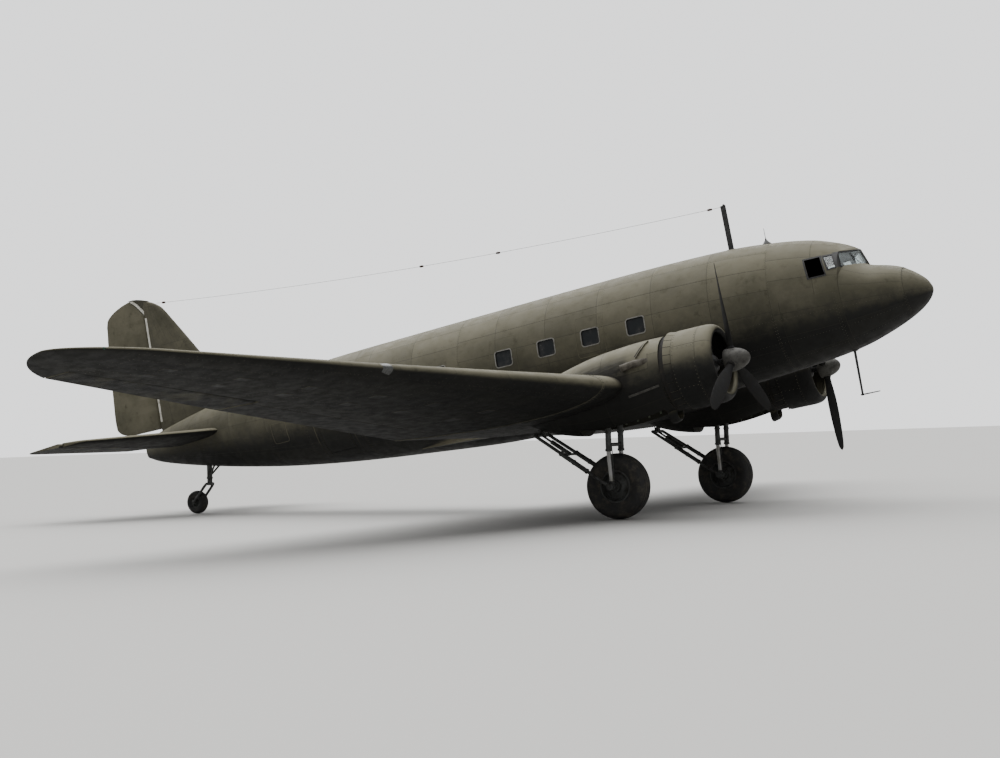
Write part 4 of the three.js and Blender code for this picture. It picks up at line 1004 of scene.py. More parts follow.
def buildFin():
    rings = []
    for z in spread(0.9, 3.85, 0.15) + [3.9, 3.95, 4.0, 4.04, 4.08, 4.12]:
        leading = rowAt(finTable, z)[1]
        half = finHalf(z)
        rings.append(fixedSection(leading, fin["hinge"] - half - fin["gap"], half, lambda s, h: at(s, h, z)))
    body = loft("fin", rings)
    inside = hullSection(frames["tail"], tailEnd)
    inside.data.transform(Matrix.Translation((0, 0, seam)))
    cut(body, inside)
    cap = prismAcrossY("cap", [(18.24, 3.745), (18.29, 3.745), (18.42, 3.9), (18.56, 4.06), (18.76, 4.225),
        (18.62, 4.222), (18.5, 4.205), (18.35, 4.165), (18.2, 4.11)], -finHalf(4.0), finHalf(4.0))
    brackets = [hingeBracket(at(fin["hinge"], 0, z), finHalf(z - 0.02), fin["gap"], port) for z in (1.5, 2.6, 3.5)]
    finishPiece([body, cap, *brackets], "fin_skin", "hull", "fin")
    rings = []
    for z, proud in ribbed([1.01, 1.04, 1.07, 1.1, 1.15, 1.2, 1.25, 2.0, 3.3, 3.6, 3.75, 3.9, 3.96, 4.02, 4.07, 4.12,
            4.17, 4.21], spread(1.45, 3.7, 0.32), 0.003):
        trailing = rowAt(rudderTable, z)[1]
        rings.append(surfaceRing(at(fin["hinge"], 0, z), at(trailing, 0, z), finHalf(z) - 0.003 + proud, port))
    rudder = loft("rudder", rings)
    corner = prismAcrossY("corner", [(18.1, 3.725), (18.305, 3.725), (18.59, 4.055), (18.8, 4.235), (18.7, 4.5),
        (18.0, 4.5)], -0.3, 0.3)
    cut(rudder, corner)
    finishPiece(rudder, "rudder_cover", "rudder", "rudder", body="rudder")


buildTailplane()
buildFin()
print("tail made")

# Nacelles: station, top, bottom, half width
nacelleTable = [(4.18, -0.075, -1.425, 0.672), (4.60, -0.070, -1.500, 0.690), (5.10, -0.095, -1.560, 0.680),
    (5.60, -0.145, -1.580, 0.640), (6.10, -0.240, -1.530, 0.560), (6.60, -0.365, -1.400, 0.440),
    (7.00, -0.490, -1.230, 0.300), (7.20, -0.570, -1.120, 0.190)]
nacellePower = 0.9
wheelWell = {"front": 4.35, "rear": 6.05, "half": 0.35, "top": -1.01}
cowl = {"radius": 0.710, "front": 3.200, "fixedEnd": 3.93, "gills": 24, "gillEnd": 4.075,
    "gillStart": -73, "gillArc": 326}
propeller = {"station": 3.05, "turn": {"left": pi, "right": 0.0}}


def buildNacelle(side, sign):
    centre = sign * trackHalf
    rings = []
    for station in spread(nacelleTable[0][0], nacelleTable[-1][0], 0.1):
        top, bottom, half = rowAt(nacelleTable, station)[1:]
        middleZ, height = (top + bottom) / 2, (top - bottom) / 2
        rings.append([at(station, centre + half * c, middleZ + height * s) for c,
            s in (squarish(angle, nacellePower) for angle in circle(72, 0.5))])
    body = loft("nacelle", rings)
    front, rear, half, top = (wheelWell[key] for key in ("front", "rear", "half", "top"))
    well = prismAcrossY("well", [(front, top), (front, -1.8), (rear, -1.8), (rear, -1.25), (rear - 0.25, top)],
        centre - half, centre + half)
    cut(body, well, wingLoft("wingBody", [centre - 1.0, centre + 1.0], seam))
    finishPiece(body, f"nacelle_skin_{side}", "nacelle", f"nacelle_{side}")


def buildCowl(side, sign):
    centre = at(0, sign * trackHalf, thrustZ)
    r, front, end = cowl["radius"], cowl["front"], cowl["fixedEnd"]
    lip = [(r - 0.150, front + 0.090), (r - 0.168, front + 0.055), (r - 0.160, front + 0.025),
        (r - 0.140, front + 0.006), (r - 0.110, front), (r - 0.080, front + 0.010), (r - 0.050, front + 0.034),
        (r - 0.026, front + 0.070), (r - 0.010, front + 0.125), (r - 0.002, front + 0.190), (r, front + 0.260)]
    rear = [(r, front + 0.45), (r, end - 0.004), (r - 0.004, end), (r - 0.020, end), (r - 0.024, end - 0.004),
        (r - 0.024, front + 0.260), (r - 0.050, front + 0.140), (r - 0.100, front + 0.105)]
    profile = [(radius, -station) for radius, station in lip + rear]
    pieces = [turned("cowl", profile, centre, forward, 128)]
    count = cowl["gills"]
    for k in range(count):
        width = radians(cowl["gillArc"]) / count - 0.012
        start = radians(cowl["gillStart"]) + radians(cowl["gillArc"]) * k / count
        rings = []
        for station, radius in ((end + 0.004, r - 0.010), (end + 0.06, r - 0.002), (cowl["gillEnd"], r + 0.014)):
            outer, inner = [], []
            for j in range(5):
                out = spoke(start + width * j / 4)
                outer.append(centre + out * radius - forward * station)
                inner.append(centre + out * (radius - 0.007) - forward * station)
            rings.append(outer + inner[::-1])
        pieces.append(loft("gill", rings))
    finishPiece(pieces, f"cowl_skin_{side}", "nacelle", f"cowl_{side}")


engine = {"cylinders": 9, "front": 3.33, "row": 3.64, "rear": 4.18 - seam, "caseRadius": 0.26, "headRadius": 0.673,
    "fins": 15, "headFins": 8}


def buildEngine(side, sign):
    centre = at(0, sign * trackHalf, thrustZ)
    front, row, rear, case = engine["front"], engine["row"], engine["rear"], engine["caseRadius"]
    shaftEnd = propeller["station"] + 0.12 + 2 * seam
    profile = [(0, -shaftEnd), (0.060, -shaftEnd), (0.060, -front + 0.015), (0.085, -front), (0.125, -front - 0.02),
        (0.165, -front - 0.07), (0.2, -front - 0.13), (0.215, -front - 0.135), (0.215, -front - 0.155),
        (case, -row + 0.12), (case, -row - 0.17), (0.43, -3.9), (0.6, -3.96), (0.6, -rear), (0, -rear)]
    pieces = [turned("case", profile, centre, forward, 64)]
    fins = []
    for angle in circle(engine["cylinders"]):
        out = spoke(angle + pi / 2)
        across = forward.cross(out)
        base = at(row, sign * trackHalf, thrustZ)
        foot, crown, top, spark = (base + out * reach for reach in (0.22, 0.47, 0.62, 0.52))
        fins.append(rod("barrel", foot, crown, 0.082))
        for k in range(engine["fins"]):
            place = 0.285 + 0.0125 * k
            fins.append(rod("fin", base + out * place, base + out * (place + 0.004), 0.106, 20))
        fins.append(rod("head", crown, top, 0.098, endRadius=0.088))
        for k in range(engine["headFins"]):
            place = 0.482 + 0.0165 * k
            fins.append(rod("fin", base + out * place, base + out * (place + 0.005), 0.118, 20, endRadius=0.114))
        for lean in (-1, 1):
            box = base + across * lean * 0.055 + forward * 0.02
            fins.append(rod("rocker", box + out * 0.60, box + out * (engine["headRadius"] - 0.006), 0.036,
                endRadius=0.030))
            pieces.append(rod("pushrod", foot + forward * 0.115 + across * lean * 0.03,
                top + forward * 0.06 + across * lean * 0.055, 0.011, 10))
        bolt = spoke(angle + pi / 2 + pi / engine["cylinders"])
        nose = at(front + 0.135, sign * trackHalf, thrustZ) + bolt * 0.2
        pieces += [rod("plug", spark + forward * 0.09, spark + forward * 0.135, 0.013, 8),
            tube("lead", [base + out * 0.30 + forward * 0.16, base + out * 0.40 + forward * 0.175,
            spark + forward * 0.132], 0.006, 8, 3), rod("bolt", nose - forward * 0.01, nose + forward * 0.012, 0.009,
            6)]
    harness = [(0.302 + 0.010 * cos(a), -(row - 0.165) + 0.010 * sin(a)) for a in circle(8)]
    pieces.append(turned("harness", harness, centre, forward, 48))
    finishPiece(pieces, f"engine_case_{side}", "engine", f"engine_{side}")
    finishPiece(fins, f"engine_cylinders_{side}", "cylinder", f"engine_{side}")


bladeTable = [(0.150, 0.110, 0.100, 55), (0.380, 0.150, 0.070, 48), (0.700, 0.230, 0.040, 36),
    (1.100, 0.260, 0.026, 27), (1.500, 0.225, 0.018, 21), (1.690, 0.150, 0.012, 19), (1.750, 0.060, 0.008, 18)]


def buildPropeller(side, sign):
    hub = at(propeller["station"], sign * trackHalf, thrustZ)
    profile = [(0, 0.320), (0.03, 0.317), (0.060, 0.305), (0.09, 0.284), (0.115, 0.260), (0.143, 0.222),
        (0.165, 0.180), (0.186, 0.125), (0.200, 0.070), (0.208, 0.0), (0.210, -0.060), (0.205, -0.112),
        (0.195, -0.120), (0, -0.120)]
    finishPiece(turned("spinner", profile, hub, forward), f"spinner_{side}", "spinner", body=f"propeller_{side}")
    blades = []
    for i in range(3):
        angle = propeller["turn"][side] + 2 * pi * i / 3
        out = Vector((0, sin(angle), cos(angle)))
        across = forward.cross(out)
        rings = []
        for radius in spread(0.15, 1.69, 0.055) + [1.715, 1.735, 1.747, 1.75]:
            chord, thickness, pitch = rowAt(bladeTable, radius)[1:]
            if radius > 1.69:
                chord *= sqrt(max(0.02, 1 - ((radius - 1.69) / 0.0605) ** 2))
            turn = radians(pitch)
            wide = across * cos(turn) + forward * sin(turn)
            thick = out.cross(wide)
            rings.append([hub + out * radius + wide * (chord / 2 * cos(a)) + thick * (thickness / 2 * sin(a))
                for a in circle(28)])
        blades += [loft("blade", rings), rod("cuff", hub + out * 0.17, hub + out * 0.235, 0.078, 28, endRadius=0.07)]
    finishPiece(blades, f"propeller_blades_{side}", "blade", f"propeller_{side}", body=f"propeller_{side}")


for side, sign in sides.items():
    buildNacelle(side, sign)
    buildCowl(side, sign)
    buildEngine(side, sign)
    buildPropeller(side, sign)
print("engines made")

# Landing gear
leg = {"spread": 0.275, "radius": 0.055, "lowerRadius": 0.042, "axleRadius": 0.045, "pivotS": 5.48, "pivotZ": -1.21}
brace = {"radius": 0.032, "topHalf": 0.300, "topS": 7.0, "topZ": -1.33}
mainWheel = {"station": 5.65, "z": -2.535, "radius": 0.6, "width": 0.43, "hub": 0.3, "hubWidth": 0.38,
    "bore": leg["axleRadius"] + 0.0008, "grooves": True}


def mirrored(half):
    # A profile of (radius, distance) points with its other half added
    return half + [(radius, -distance) for radius, distance in reversed(half) if distance]


def tyrePiece(centre, wheel):
    # A tyre with a rounded section, a bead on each side wall and, on the main wheels, ribs on its tread
    h, hubRadius = wheel["width"] / 2, wheel["hub"] + seam
    depth = (wheel["radius"] - hubRadius) / 2
    profile = []
    steps = 44
    for i in range(steps + 1):
        angle = pi * i / steps - pi / 2
        x = h * sin(angle)
        r = hubRadius + depth + depth * max(0.0, cos(angle)) ** 0.8
        if wheel["grooves"] and abs(x) < h * 0.62 and i % 4 == 2:
            r -= 0.012
        if abs(abs(x) - h * 0.93) < h * 0.02:
            r += 0.006
        profile.append((r, x))
    profile += mirrored([(hubRadius + 0.012, h * 0.76), (hubRadius, h * 0.72)])
    return turned("tyre", profile, centre, port, 128)


def hubPiece(centre, wheel):
    h, radius, bore = wheel["hubWidth"] / 2, wheel["hub"], wheel["bore"]
    rim = radius - seam
    profile = mirrored([(bore, -h), (bore * 2.2, -h), (bore * 2.4, -h * 0.55), (radius * 0.62, -h * 0.36),
        (radius * 0.8, -h * 0.3), (radius - 0.034, -h * 0.72), (radius - 0.026, -h * 0.8), (rim, -h * 0.8)])
    pieces = [turned("hub", profile, centre, port, 72)]
    for side in (-1, 1):
        for angle in circle(10):
            out = Vector((cos(angle), 0, sin(angle)))
            place = centre + out * radius * 0.7 + port * side * h * 0.33
            pieces.append(rod("bolt", place - port * side * 0.004, place + port * side * 0.014, radius * 0.035, 6))
    return pieces


def buildWheel(centre, wheel, body, cover, tyre, disc, hub):
    finishPiece(tyrePiece(centre, wheel), cover, "rubber", tyre, body=body)
    finishPiece(hubPiece(centre, wheel), disc, "gear", hub, body=body)


def crossRod(name, station, y0, y1, z, radius, segments=24):
    return rod(name, at(station, y0, z), at(station, y1, z), radius, segments)


def collars(foot, top, shares, half, radius, segments):
    step = (top - foot).normalized() * half
    return [rod("collar", place - step, place + step, radius, segments)
        for place in (foot.lerp(top, share) for share in shares)]


def buildMainGear(side, sign):
    centre = sign * trackHalf
    station, z = mainWheel["station"], mainWheel["z"]
    kneeS, kneeZ = station - 0.06, z + 0.64
    parts, pistons = [], []
    for way in (-1, 1):
        y = centre + way * leg["spread"]
        top, knee, foot = at(leg["pivotS"], y, leg["pivotZ"]), at(kneeS, y, kneeZ), at(station, y, z)
        parts += [rod("strut", top, knee, leg["radius"], 32),
            *collars(top, knee, (0.12, 0.5, 0.97), 0.022, leg["radius"] + 0.010, 32),
            rod("fork", foot.lerp(knee, 0.16), foot, leg["lowerRadius"] + 0.012, 28),
            crossRod("eye", station, y - 0.06, y + 0.06, z, 0.075, 36)]
        pistons.append(rod("piston", at(kneeS, y, kneeZ + 0.04), foot, leg["lowerRadius"], 32))
    reach, across = wheelWell["half"] - seam, leg["spread"] + 0.01
    hose = [(kneeS - 0.06, kneeZ + 0.5), (kneeS - 0.075, kneeZ + 0.1), (station - 0.085, z + 0.3),
        (station - 0.05, z + 0.06)]
    parts += [crossRod("pivot", leg["pivotS"], centre - reach, centre + reach, leg["pivotZ"], 0.05, 28),
        crossRod("spreader", kneeS, centre - across, centre + across, kneeZ + 0.12, 0.034),
        crossRod("axle", station, centre - across, centre + across, z, leg["axleRadius"]),
        tube("brakeLine", [at(s, centre - leg["spread"], h) for s, h in hose], 0.009, 8, 5)]
    finishPiece(parts, f"main_struts_{side}", "gear", f"main_leg_{side}")
    finishPiece(pistons, f"main_pistons_{side}", "piston")

    parts = []
    footY = leg["spread"] + 0.06 + seam
    for way in (-1, 1):
        foot = at(station, centre + way * (footY + 0.034), z)
        top = at(brace["topS"], centre + way * brace["topHalf"], brace["topZ"])
        parts += [crossRod("eye", station, centre + way * footY, centre + way * (footY + 0.066), z, 0.062, 36),
            rod("stay", foot, top, brace["radius"], 28), rod("sleeve", foot.lerp(top, 0.30), foot.lerp(top, 0.64),
            brace["radius"] + 0.012, 32), *collars(foot, top, (0.30, 0.47, 0.64), 0.02, brace["radius"] + 0.019, 28)]
    ends = []
    for share, radius in ((0.62, 0.022), (1, 0.034)):
        reachY = footY + 0.034 + share * (brace["topHalf"] - footY - 0.034)
        s, h = mix(station, brace["topS"], share), mix(z, brace["topZ"], share)
        parts.append(crossRod("rung", s, centre - reachY, centre + reachY, h, radius))
        ends.append(at(s, centre, h))
    low, high = ends
    lugTop = rowAt(nacelleTable, brace["topS"])[2]
    parts += [rod("jack", low, low.lerp(high, 0.66), 0.040, 32), rod("jackRod", low.lerp(high, 0.6), high, 0.022),
        block("lug", brace["topS"] - 0.05, brace["topS"] + 0.04, centre - 0.06, centre + 0.06, brace["topZ"],
        lugTop - 0.004)]
    finishPiece(parts, f"drag_braces_{side}", "gear", f"drag_brace_{side}")
    buildWheel(at(station, centre, z), mainWheel, f"main_wheel_{side}", f"tyre_cover_{side}", f"main_tyre_{side}",
        f"wheel_disc_{side}", f"main_hub_{side}")


for side, sign in sides.items():
    buildMainGear(side, sign)

tailWheel = {"station": 17.62, "radius": 0.27, "width": 0.21, "hub": 0.13, "hubWidth": 0.17, "bore": 0.0248,
    "grooves": False, "pivotS": 17.16, "pivotZ": -0.43, "lean": 0.086, "length": 0.52}
tailWheel["z"] = mainWheel["z"] + ((tailWheel["station"] - mainWheel["station"]) * sin(attitude)
    - (mainWheel["radius"] - tailWheel["radius"])) / cos(attitude)


def tailPivotAt(distance):
    share = distance / hypot(tailWheel["lean"], tailWheel["length"])
    return at(tailWheel["pivotS"] + tailWheel["lean"] * share, 0, tailWheel["pivotZ"] - tailWheel["length"] * share)


def buildTailWheel():
    station, z = tailWheel["station"], tailWheel["z"]
    parts = [rod("post", tailPivotAt(-0.33), tailPivotAt(0), 0.062, 32),
        rod("collar", tailPivotAt(-0.05), tailPivotAt(0), 0.074, 32),
        *(rod("stay", at(16.80, way * 0.125, -0.08), tailPivotAt(-0.055), 0.022) for way in (-1, 1))]
    finishPiece(parts, "tail_strut", "gear", "tail_leg")
    crown = tailPivotAt(0.11)
    reach = tailWheel["width"] / 2 + 0.035
    parts = [rod("swivel", tailPivotAt(2 * seam), tailPivotAt(0.15), 0.06, 32)]
    for way in (-1, 1):
        shoulder = Vector((crown.x, way * reach, crown.z))
        foot = at(station, way * reach, z)
        parts += [tube("arm", [crown, crown.lerp(shoulder, 0.6), shoulder.lerp(foot, 0.12), foot], 0.031, 16, 6),
            crossRod("eye", station, way * (reach - 0.02), way * (reach + 0.02), z, 0.05)]
    parts.append(crossRod("axle", station, -reach - 0.02, reach + 0.02, z, 0.024))
    finishPiece(parts, "tail_fork_arms", "gear", "tail_fork", body="tail_castor")
    buildWheel(at(station, 0, z), tailWheel, "tail_wheel", "tail_tyre_cover", "tail_tyre", "tail_wheel_disc",
        "tail_hub")


buildTailWheel()
print("gear made")

# Geometry Nodes: small heads in rows along paths, each turned to its surface
def headsAlongPaths():
    tree = bpy.data.node_groups.new("headsAlongPaths", "GeometryNodeTree")
    for name, kind in (("Geometry", "Geometry"), ("Pitch", "Float"), ("Radius", "Float"), ("Height", "Float"),
            ("Sides", "Int"), ("Seed", "Int"), ("Material", "Material")):
        tree.interface.new_socket(name, in_out="INPUT", socket_type="NodeSocket" + kind)
    tree.interface.new_socket("Geometry", in_out="OUTPUT", socket_type="NodeSocketGeometry")
    entry = addNode(tree, "NodeGroupInput").outputs

    def step(kind, inputs, **settings):
        return addNode(tree, "GeometryNode" + kind, inputs, **settings).outputs[0]

    curve = step("MeshToCurve", {"Mesh": entry["Geometry"]})
    places = step("ResampleCurve", {"Curve": curve, "Length": entry["Pitch"]}, mode="LENGTH")
    head = step("MeshCone", {"Vertices": entry["Sides"], "Radius Bottom": entry["Radius"],
        "Radius Top": times(entry["Radius"], 0.55), "Depth": times(entry["Height"], 1.3)}, fill_type="NGON")
    outward = step("InputNamedAttribute", {"Name": "outward"}, data_type="FLOAT_VECTOR")
    turn = addNode(tree, "FunctionNodeAlignRotationToVector", {"Vector": outward}, axis="Z").outputs[0]
    vary = addNode(tree, "FunctionNodeRandomValue", {2: 0.92, 3: 1.08, "Seed": entry["Seed"]}, data_type="FLOAT")
    heads = step("InstanceOnPoints", {"Points": places, "Instance": head, "Rotation": turn, "Scale": vary.outputs[1]})
    real = step("RealizeInstances", {"Geometry": heads})
    painted = step("SetMaterial", {"Geometry": real, "Material": entry["Material"]})
    addNode(tree, "NodeGroupOutput", {"Geometry": painted})
    return tree


headTree = headsAlongPaths()


def rowsOfHeads(name, paths, pitch=0.06, radius=0.006, height=0.0022, corners=5):
    # Each path is a list of (place, outward) pairs
    mesh = bpy.data.meshes.new(name)
    points, normals, edges = [], [], []
    for path in paths:
        first = len(points)
        points += [place for place, _ in path]
        normals += [out for _, out in path]
        edges += [(first + i, first + i + 1) for i in range(len(path) - 1)]
    mesh.from_pydata(points, edges, [])
    attribute = mesh.attributes.new("outward", "FLOAT_VECTOR", "POINT")
    attribute.data.foreach_set("vector", [v for normal in normals for v in normal])
    piece = newObject(name, mesh)
    rows = piece.modifiers.new("rows", "NODES")
    rows.node_group = headTree
    values = {"Pitch": pitch, "Radius": radius, "Height": height, "Sides": corners, "Seed": 7,
        "Material": looks["fastener"]}
    for item in headTree.interface.items_tree:
        if item.item_type == "SOCKET" and item.in_out == "INPUT" and item.name in values:
            rows[item.identifier] = values[item.name]
    applyModifiers(piece)
    bm = bmesh.new()
    bm.from_mesh(piece.data)
    heads = fromBmesh(name, bm)
    bpy.data.objects.remove(piece)
    finishPiece(heads, name, "fastener")


def ringPaths(rings, keep, indices=None, only=None):
    # Paths round each ring, or only some, or along the given ring indices, broken where keep says no
    count = len(rings[0])
    normal = {}

    def outwardAt(r, i):
        if (r, i) not in normal:
            a = rings[r][(i + 1) % count] - rings[r][i - 1]
            b = rings[min(r + 1, len(rings) - 1)][i] - rings[max(r - 1, 0)][i]
            out = a.cross(b)
            middle = sum(rings[r], Vector()) / count
            out = out.normalized() if out.length > 1e-9 else up
            normal[r, i] = out if out.dot(rings[r][i] - middle) > 0 else -out
        return normal[r, i]

    if indices:
        lines = [[(r, i) for r in range(len(rings))] for i in indices]
    else:
        lines = [[(r, i % count) for i in range(count + 1)] for r in only or range(len(rings))]
    paths = []
    for line in lines:
        path = []
        for r, i in line:
            if keep(rings[r][i]):
                path.append((rings[r][i], outwardAt(r, i)))
            else:
                paths.append(path)
                path = []
        paths.append(path)
    return [path for path in paths if len(path) > 1]


def rootShare(station):
    return within((station - wing["leading"]) / (wing["trailing"] - wing["leading"]))


def clearOfOpenings(point):
    station, y, z = -point.x, abs(point.y), point.z
    if wing["leading"] - 0.05 < station < wing["trailing"] + 0.05:
        if z < skinHeight(min(y, wing["rootY"]), rootShare(station), 1) + 0.05:
            return False
    if 0.25 < z < 0.71 and any(abs(station - middle) < 0.24 for middle in cabinWindows["stations"]):
        return False
    if station < 2.15 and z > 0.55:
        return False
    if door["front"] - 0.09 < station < door["rear"] + 0.03 and door["low"] - 0.03 < z < 0.91 and point.y < 0:
        return False
    if station > 15.9 and (z > 1.0 or 0.4 < z < 0.72):
        return False
    return True


def buildFastenerRows():
    paths = []
    for start, end in zip(frames.values(), list(frames.values())[1:]):
        stations = spread(start, end, 1.15) if end - start > 1.5 else [start, end]
        stations = [s + way * 0.018 for s in stations for way in (-1, 1)]
        roof = deckLine if end < 3 else None
        for station in stations:
            rings = [hullRing(station + off, 0.0, roof) for off in (-0.02, 0, 0.02)]
            paths += ringPaths(rings, clearOfOpenings, only=(1,))
    rows = [hullRing(s, 0.0, deckLine if s < 2.1 else None) for s in spread(0.5, 17.8, 0.2)]
    paths += ringPaths(rows, clearOfOpenings, range(3, hull["points"], 6))
    rowsOfHeads("fuselage_rivets", paths)
    for side, sign in sides.items():
        paths = []
        rings = [wingRing(sign * y) for y in spread(1.3, 13.2, 0.25)]

        def keep(point):
            y = abs(point.y)
            leading, trailing = wingEdges(y)[:2]
            share = (-point.x - leading) / (trailing - leading)
            lower = point.z < sum(skinHeight(y, within(share), face) for face in (1, -1)) / 2
            if not 0.01 < share < 0.97 or (lower and share > 0.755 and y < 9.46):
                return False
            if y > aileron["inner"] - 0.05 and share > 1 - aileron["chordShare"] - 0.04:
                return False
            return abs(y - trackHalf) >= 0.72 or share >= 0.6

        wanted = (0.06, 0.16, 0.28, 0.40, 0.52, 0.64, 0.745, 0.86)
        half = wing["points"]
        shares = sectionSpacing()
        near = sorted({min(range(half), key=lambda i: abs(shares[i] - share)) for share in wanted})
        indices = [half - 1 - i for i in near] + [half + i for i in near]
        paths += ringPaths(rings, keep, indices)
        for y in spread(1.9, 13.0, 0.74):
            ribRings = [wingRing(sign * (y + off)) for off in (-0.05, 0, 0.05)]
            paths += ringPaths(ribRings, keep, only=(1,))
        rowsOfHeads(f"wing_rivets_{side}", paths, pitch=0.075)
        centre = at(0, sign * trackHalf, thrustZ)

        def onCowl(angle, station):
            return centre + spoke(angle) * (cowl["radius"] + 0.0002) - forward * station, spoke(angle)

        front, rear = cowl["front"], cowl["fixedEnd"]
        circles = [[onCowl(2 * pi * k / 96, s) for k in range(97)] for s in (front + 0.30, rear - 0.03)]
        circles += [[onCowl(radians(30 + 60 * k), s) for s in spread(front + 0.34, rear - 0.05, 0.1)]
            for k in range(6)]
        rowsOfHeads(f"cowl_fasteners_{side}", circles, pitch=0.07, radius=0.009, height=0.003, corners=8)


# Band over the joint of the centre wing and the outer wing, with its bolts
def buildWingJoints():
    for side, sign in sides.items():
        rings = [wingRing(sign * (wing["centreHalf"] + off), grow) for off,
            grow in ((-0.036, -0.002), (-0.034, 0.006), (0.034, 0.006), (0.036, -0.002))]
        finishPiece(loft("band", rings), f"wing_joint_band_{side}", "plain")
        paths = []
        for off in (-0.02, 0.02):
            bolts = [wingRing(sign * (wing["centreHalf"] + off + d), 0.006) for d in (-0.01, 0, 0.01)]
            paths += ringPaths(bolts, lambda point: True, only=(1,))
        rowsOfHeads(f"wing_joint_bolts_{side}", paths, pitch=0.055, radius=0.009, height=0.006, corners=6)


# Fillet between the fuselage and the wing
filletTable = [(4.86, 0.02, 0.03), (5.1, 0.07, 0.07), (5.8, 0.13, 0.13), (7.0, 0.20, 0.20), (8.3, 0.30, 0.30),
    (9.2, 0.38, 0.36), (9.7, 0.36, 0.30), (10.3, 0.24, 0.18), (10.8, 0.10, 0.06), (11.0, 0.03, 0.02)]


def hullSide(station, z):
    top, bottom, halfWidth, widest = rowAt(hullTable, station)[1:]
    reach = (z - widest) / ((top - widest) if z > widest else (widest - bottom))
    return halfWidth * max(0.0, 1 - min(1.0, abs(reach)) ** hull["power"]) ** (1 / hull["power"])


def buildFillets():
    for side, sign in sides.items():
        rings = []
        for station in spread(4.86, 11.0, 0.15):
            height, width = rowAt(filletTable, station)[1:]
            share = rootShare(station)
            base, low = (skinHeight(wing["rootY"], share, face) for face in (1, -1))
            if station > wing["trailing"]:
                base += (station - wing["trailing"]) * 0.05
                low = base - 0.012
            inner = hullSide(station, base + height)
            foot = hullSide(station, base) + width
            a = Vector((inner - 0.004, base + height))
            b = Vector((hullSide(station, base + 0.1 * height) + 0.10 * width, base + 0.10 * height))
            c = Vector((foot, base + 0.001))
            curve = (a * (1 - t) ** 2 + b * 2 * t * (1 - t) + c * t * t for t in (k / 9 for k in range(1, 9)))
            ring = [at(station, inner - 0.12, base + height), at(station, inner - 0.004, base + height),
                *(at(station, spot.x, spot.y) for spot in curve)]
            under = max(low, base - 0.05) if station < wing["trailing"] else low
            ring += [at(station, foot, base + 0.0005), at(station, foot, under),
                at(station, hullSide(station, under) - 0.12, under)]
            rings.append([Vector((p.x, p.y * sign, p.z)) for p in ring])
        finishPiece(loft("fillet", rings), f"wing_root_fillet_{side}", "plain")


# Lamps: landing lights in the wing, position lamps at the tips, one at the tail
def buildLamps():
    for side, sign in sides.items():
        front = wingEdges(9.03)[0]
        for name, half, grow, look, back in (("surround", 0.125, 0.0022, "wing", 0.10),
                ("lens", 0.095, 0.0042, "lamp", 0.070)):
            rings = [wingRing(sign * (9.03 + off), grow) for off in spread(-half, half, 0.03)]
            lens = common(loft("lens", rings), block("front", front - 0.1, front + back, sign * 8.8, sign * 9.3, -1.5,
                1.5))
            finishPiece(lens, f"landing_light_{name}_{side}", look)
        y = 13.55
        leading = wingEdges(y)[0]
        spot = at(leading + 0.03, sign * y, skinHeight(y, 0.02, 1) - 0.02)
        profile = [(0.0, -0.036), (0.012, -0.032), (0.019, -0.02), (0.022, 0.0), (0.019, 0.02), (0.012, 0.036),
            (0.0, 0.045)]
        finishPiece(turned("lamp", profile, spot, forward, 24), f"tip_lamp_{side}",
            "redGlass" if side == "left" else "greenGlass")
    profile = [(0.0, -0.03), (0.022, -0.026), (0.034, 0.0), (0.026, 0.025), (0.0, 0.032)]
    finishPiece(turned("lamp", profile, at(18.86, 0, 0.60), -forward, 24), "tail_lamp", "lamp")


# Aerials: the small mount with its rod on the roof, and the wire from the mast to the fin
aerial = {"mast": (3.605, 0.0, 2.515), "fin": (17.93, 0.0, 3.99), "sag": 0.18, "radius": 0.0035,
    "insulators": (0.02, 0.352, 0.484, 0.985)}


def wirePoint(share):
    a, b = at(*aerial["mast"]), at(*aerial["fin"])
    return a.lerp(b, share) - up * (4 * aerial["sag"] * share * (1 - share))


def buildAerials():
    base = at(2.9, 0, rowAt(hullTable, 2.9)[1] - 0.01)
    profile = [(0.0, 0.0), (0.095, 0.0), (0.090, 0.018), (0.062, 0.045), (0.030, 0.085), (0.018, 0.10),
        (0.015, 0.125), (0.0, 0.13)]
    mount = turned("mount", profile, base, up, 32)
    whip = rod("whip", base + up * 0.11, base + up * 0.33, 0.0065, 12, endRadius=0.004)
    finishPiece([mount, whip], "roof_rod_aerial", "black")
    cap = turned("cap", [(0.0, -0.012), (0.024, -0.010), (0.028, 0.008), (0.018, 0.030), (0.0, 0.036)],
        at(3.597, 0, 2.532), up, 24)
    collar = turned("foot", [(0.0, 0.0), (0.12, 0.0), (0.115, 0.012), (0.075, 0.022), (0.0, 0.024)],
        at(3.62, 0, rowAt(hullTable, 3.62)[1] - 0.006), up, 40)
    chin = turned("foot", [(0.0, 0.0), (0.075, 0.0), (0.07, -0.014), (0.045, -0.024), (0.0, -0.026)],
        at(1.645, 0, rowAt(hullTable, 1.645)[2] + 0.006), up, 32)
    finishPiece([cap, collar, chin], "mast_fittings", "black")
    wire = tube("wire", [wirePoint(k / 40) for k in range(41)], aerial["radius"], 6, 1)
    finishPiece(wire, "aerial_wire", "black")
    beads = []
    for share in aerial["insulators"]:
        along = (wirePoint(min(1.0, share + 0.005)) - wirePoint(max(0.0, share - 0.005))).normalized()
        profile = mirrored([(0.0, -0.055), (0.014, -0.05), (0.026, -0.03), (0.016, -0.015), (0.030, 0.0)])
        beads.append(turned("bead", profile, wirePoint(share), along, 16))
    finishPiece(beads, "aerial_insulators", "insulator")
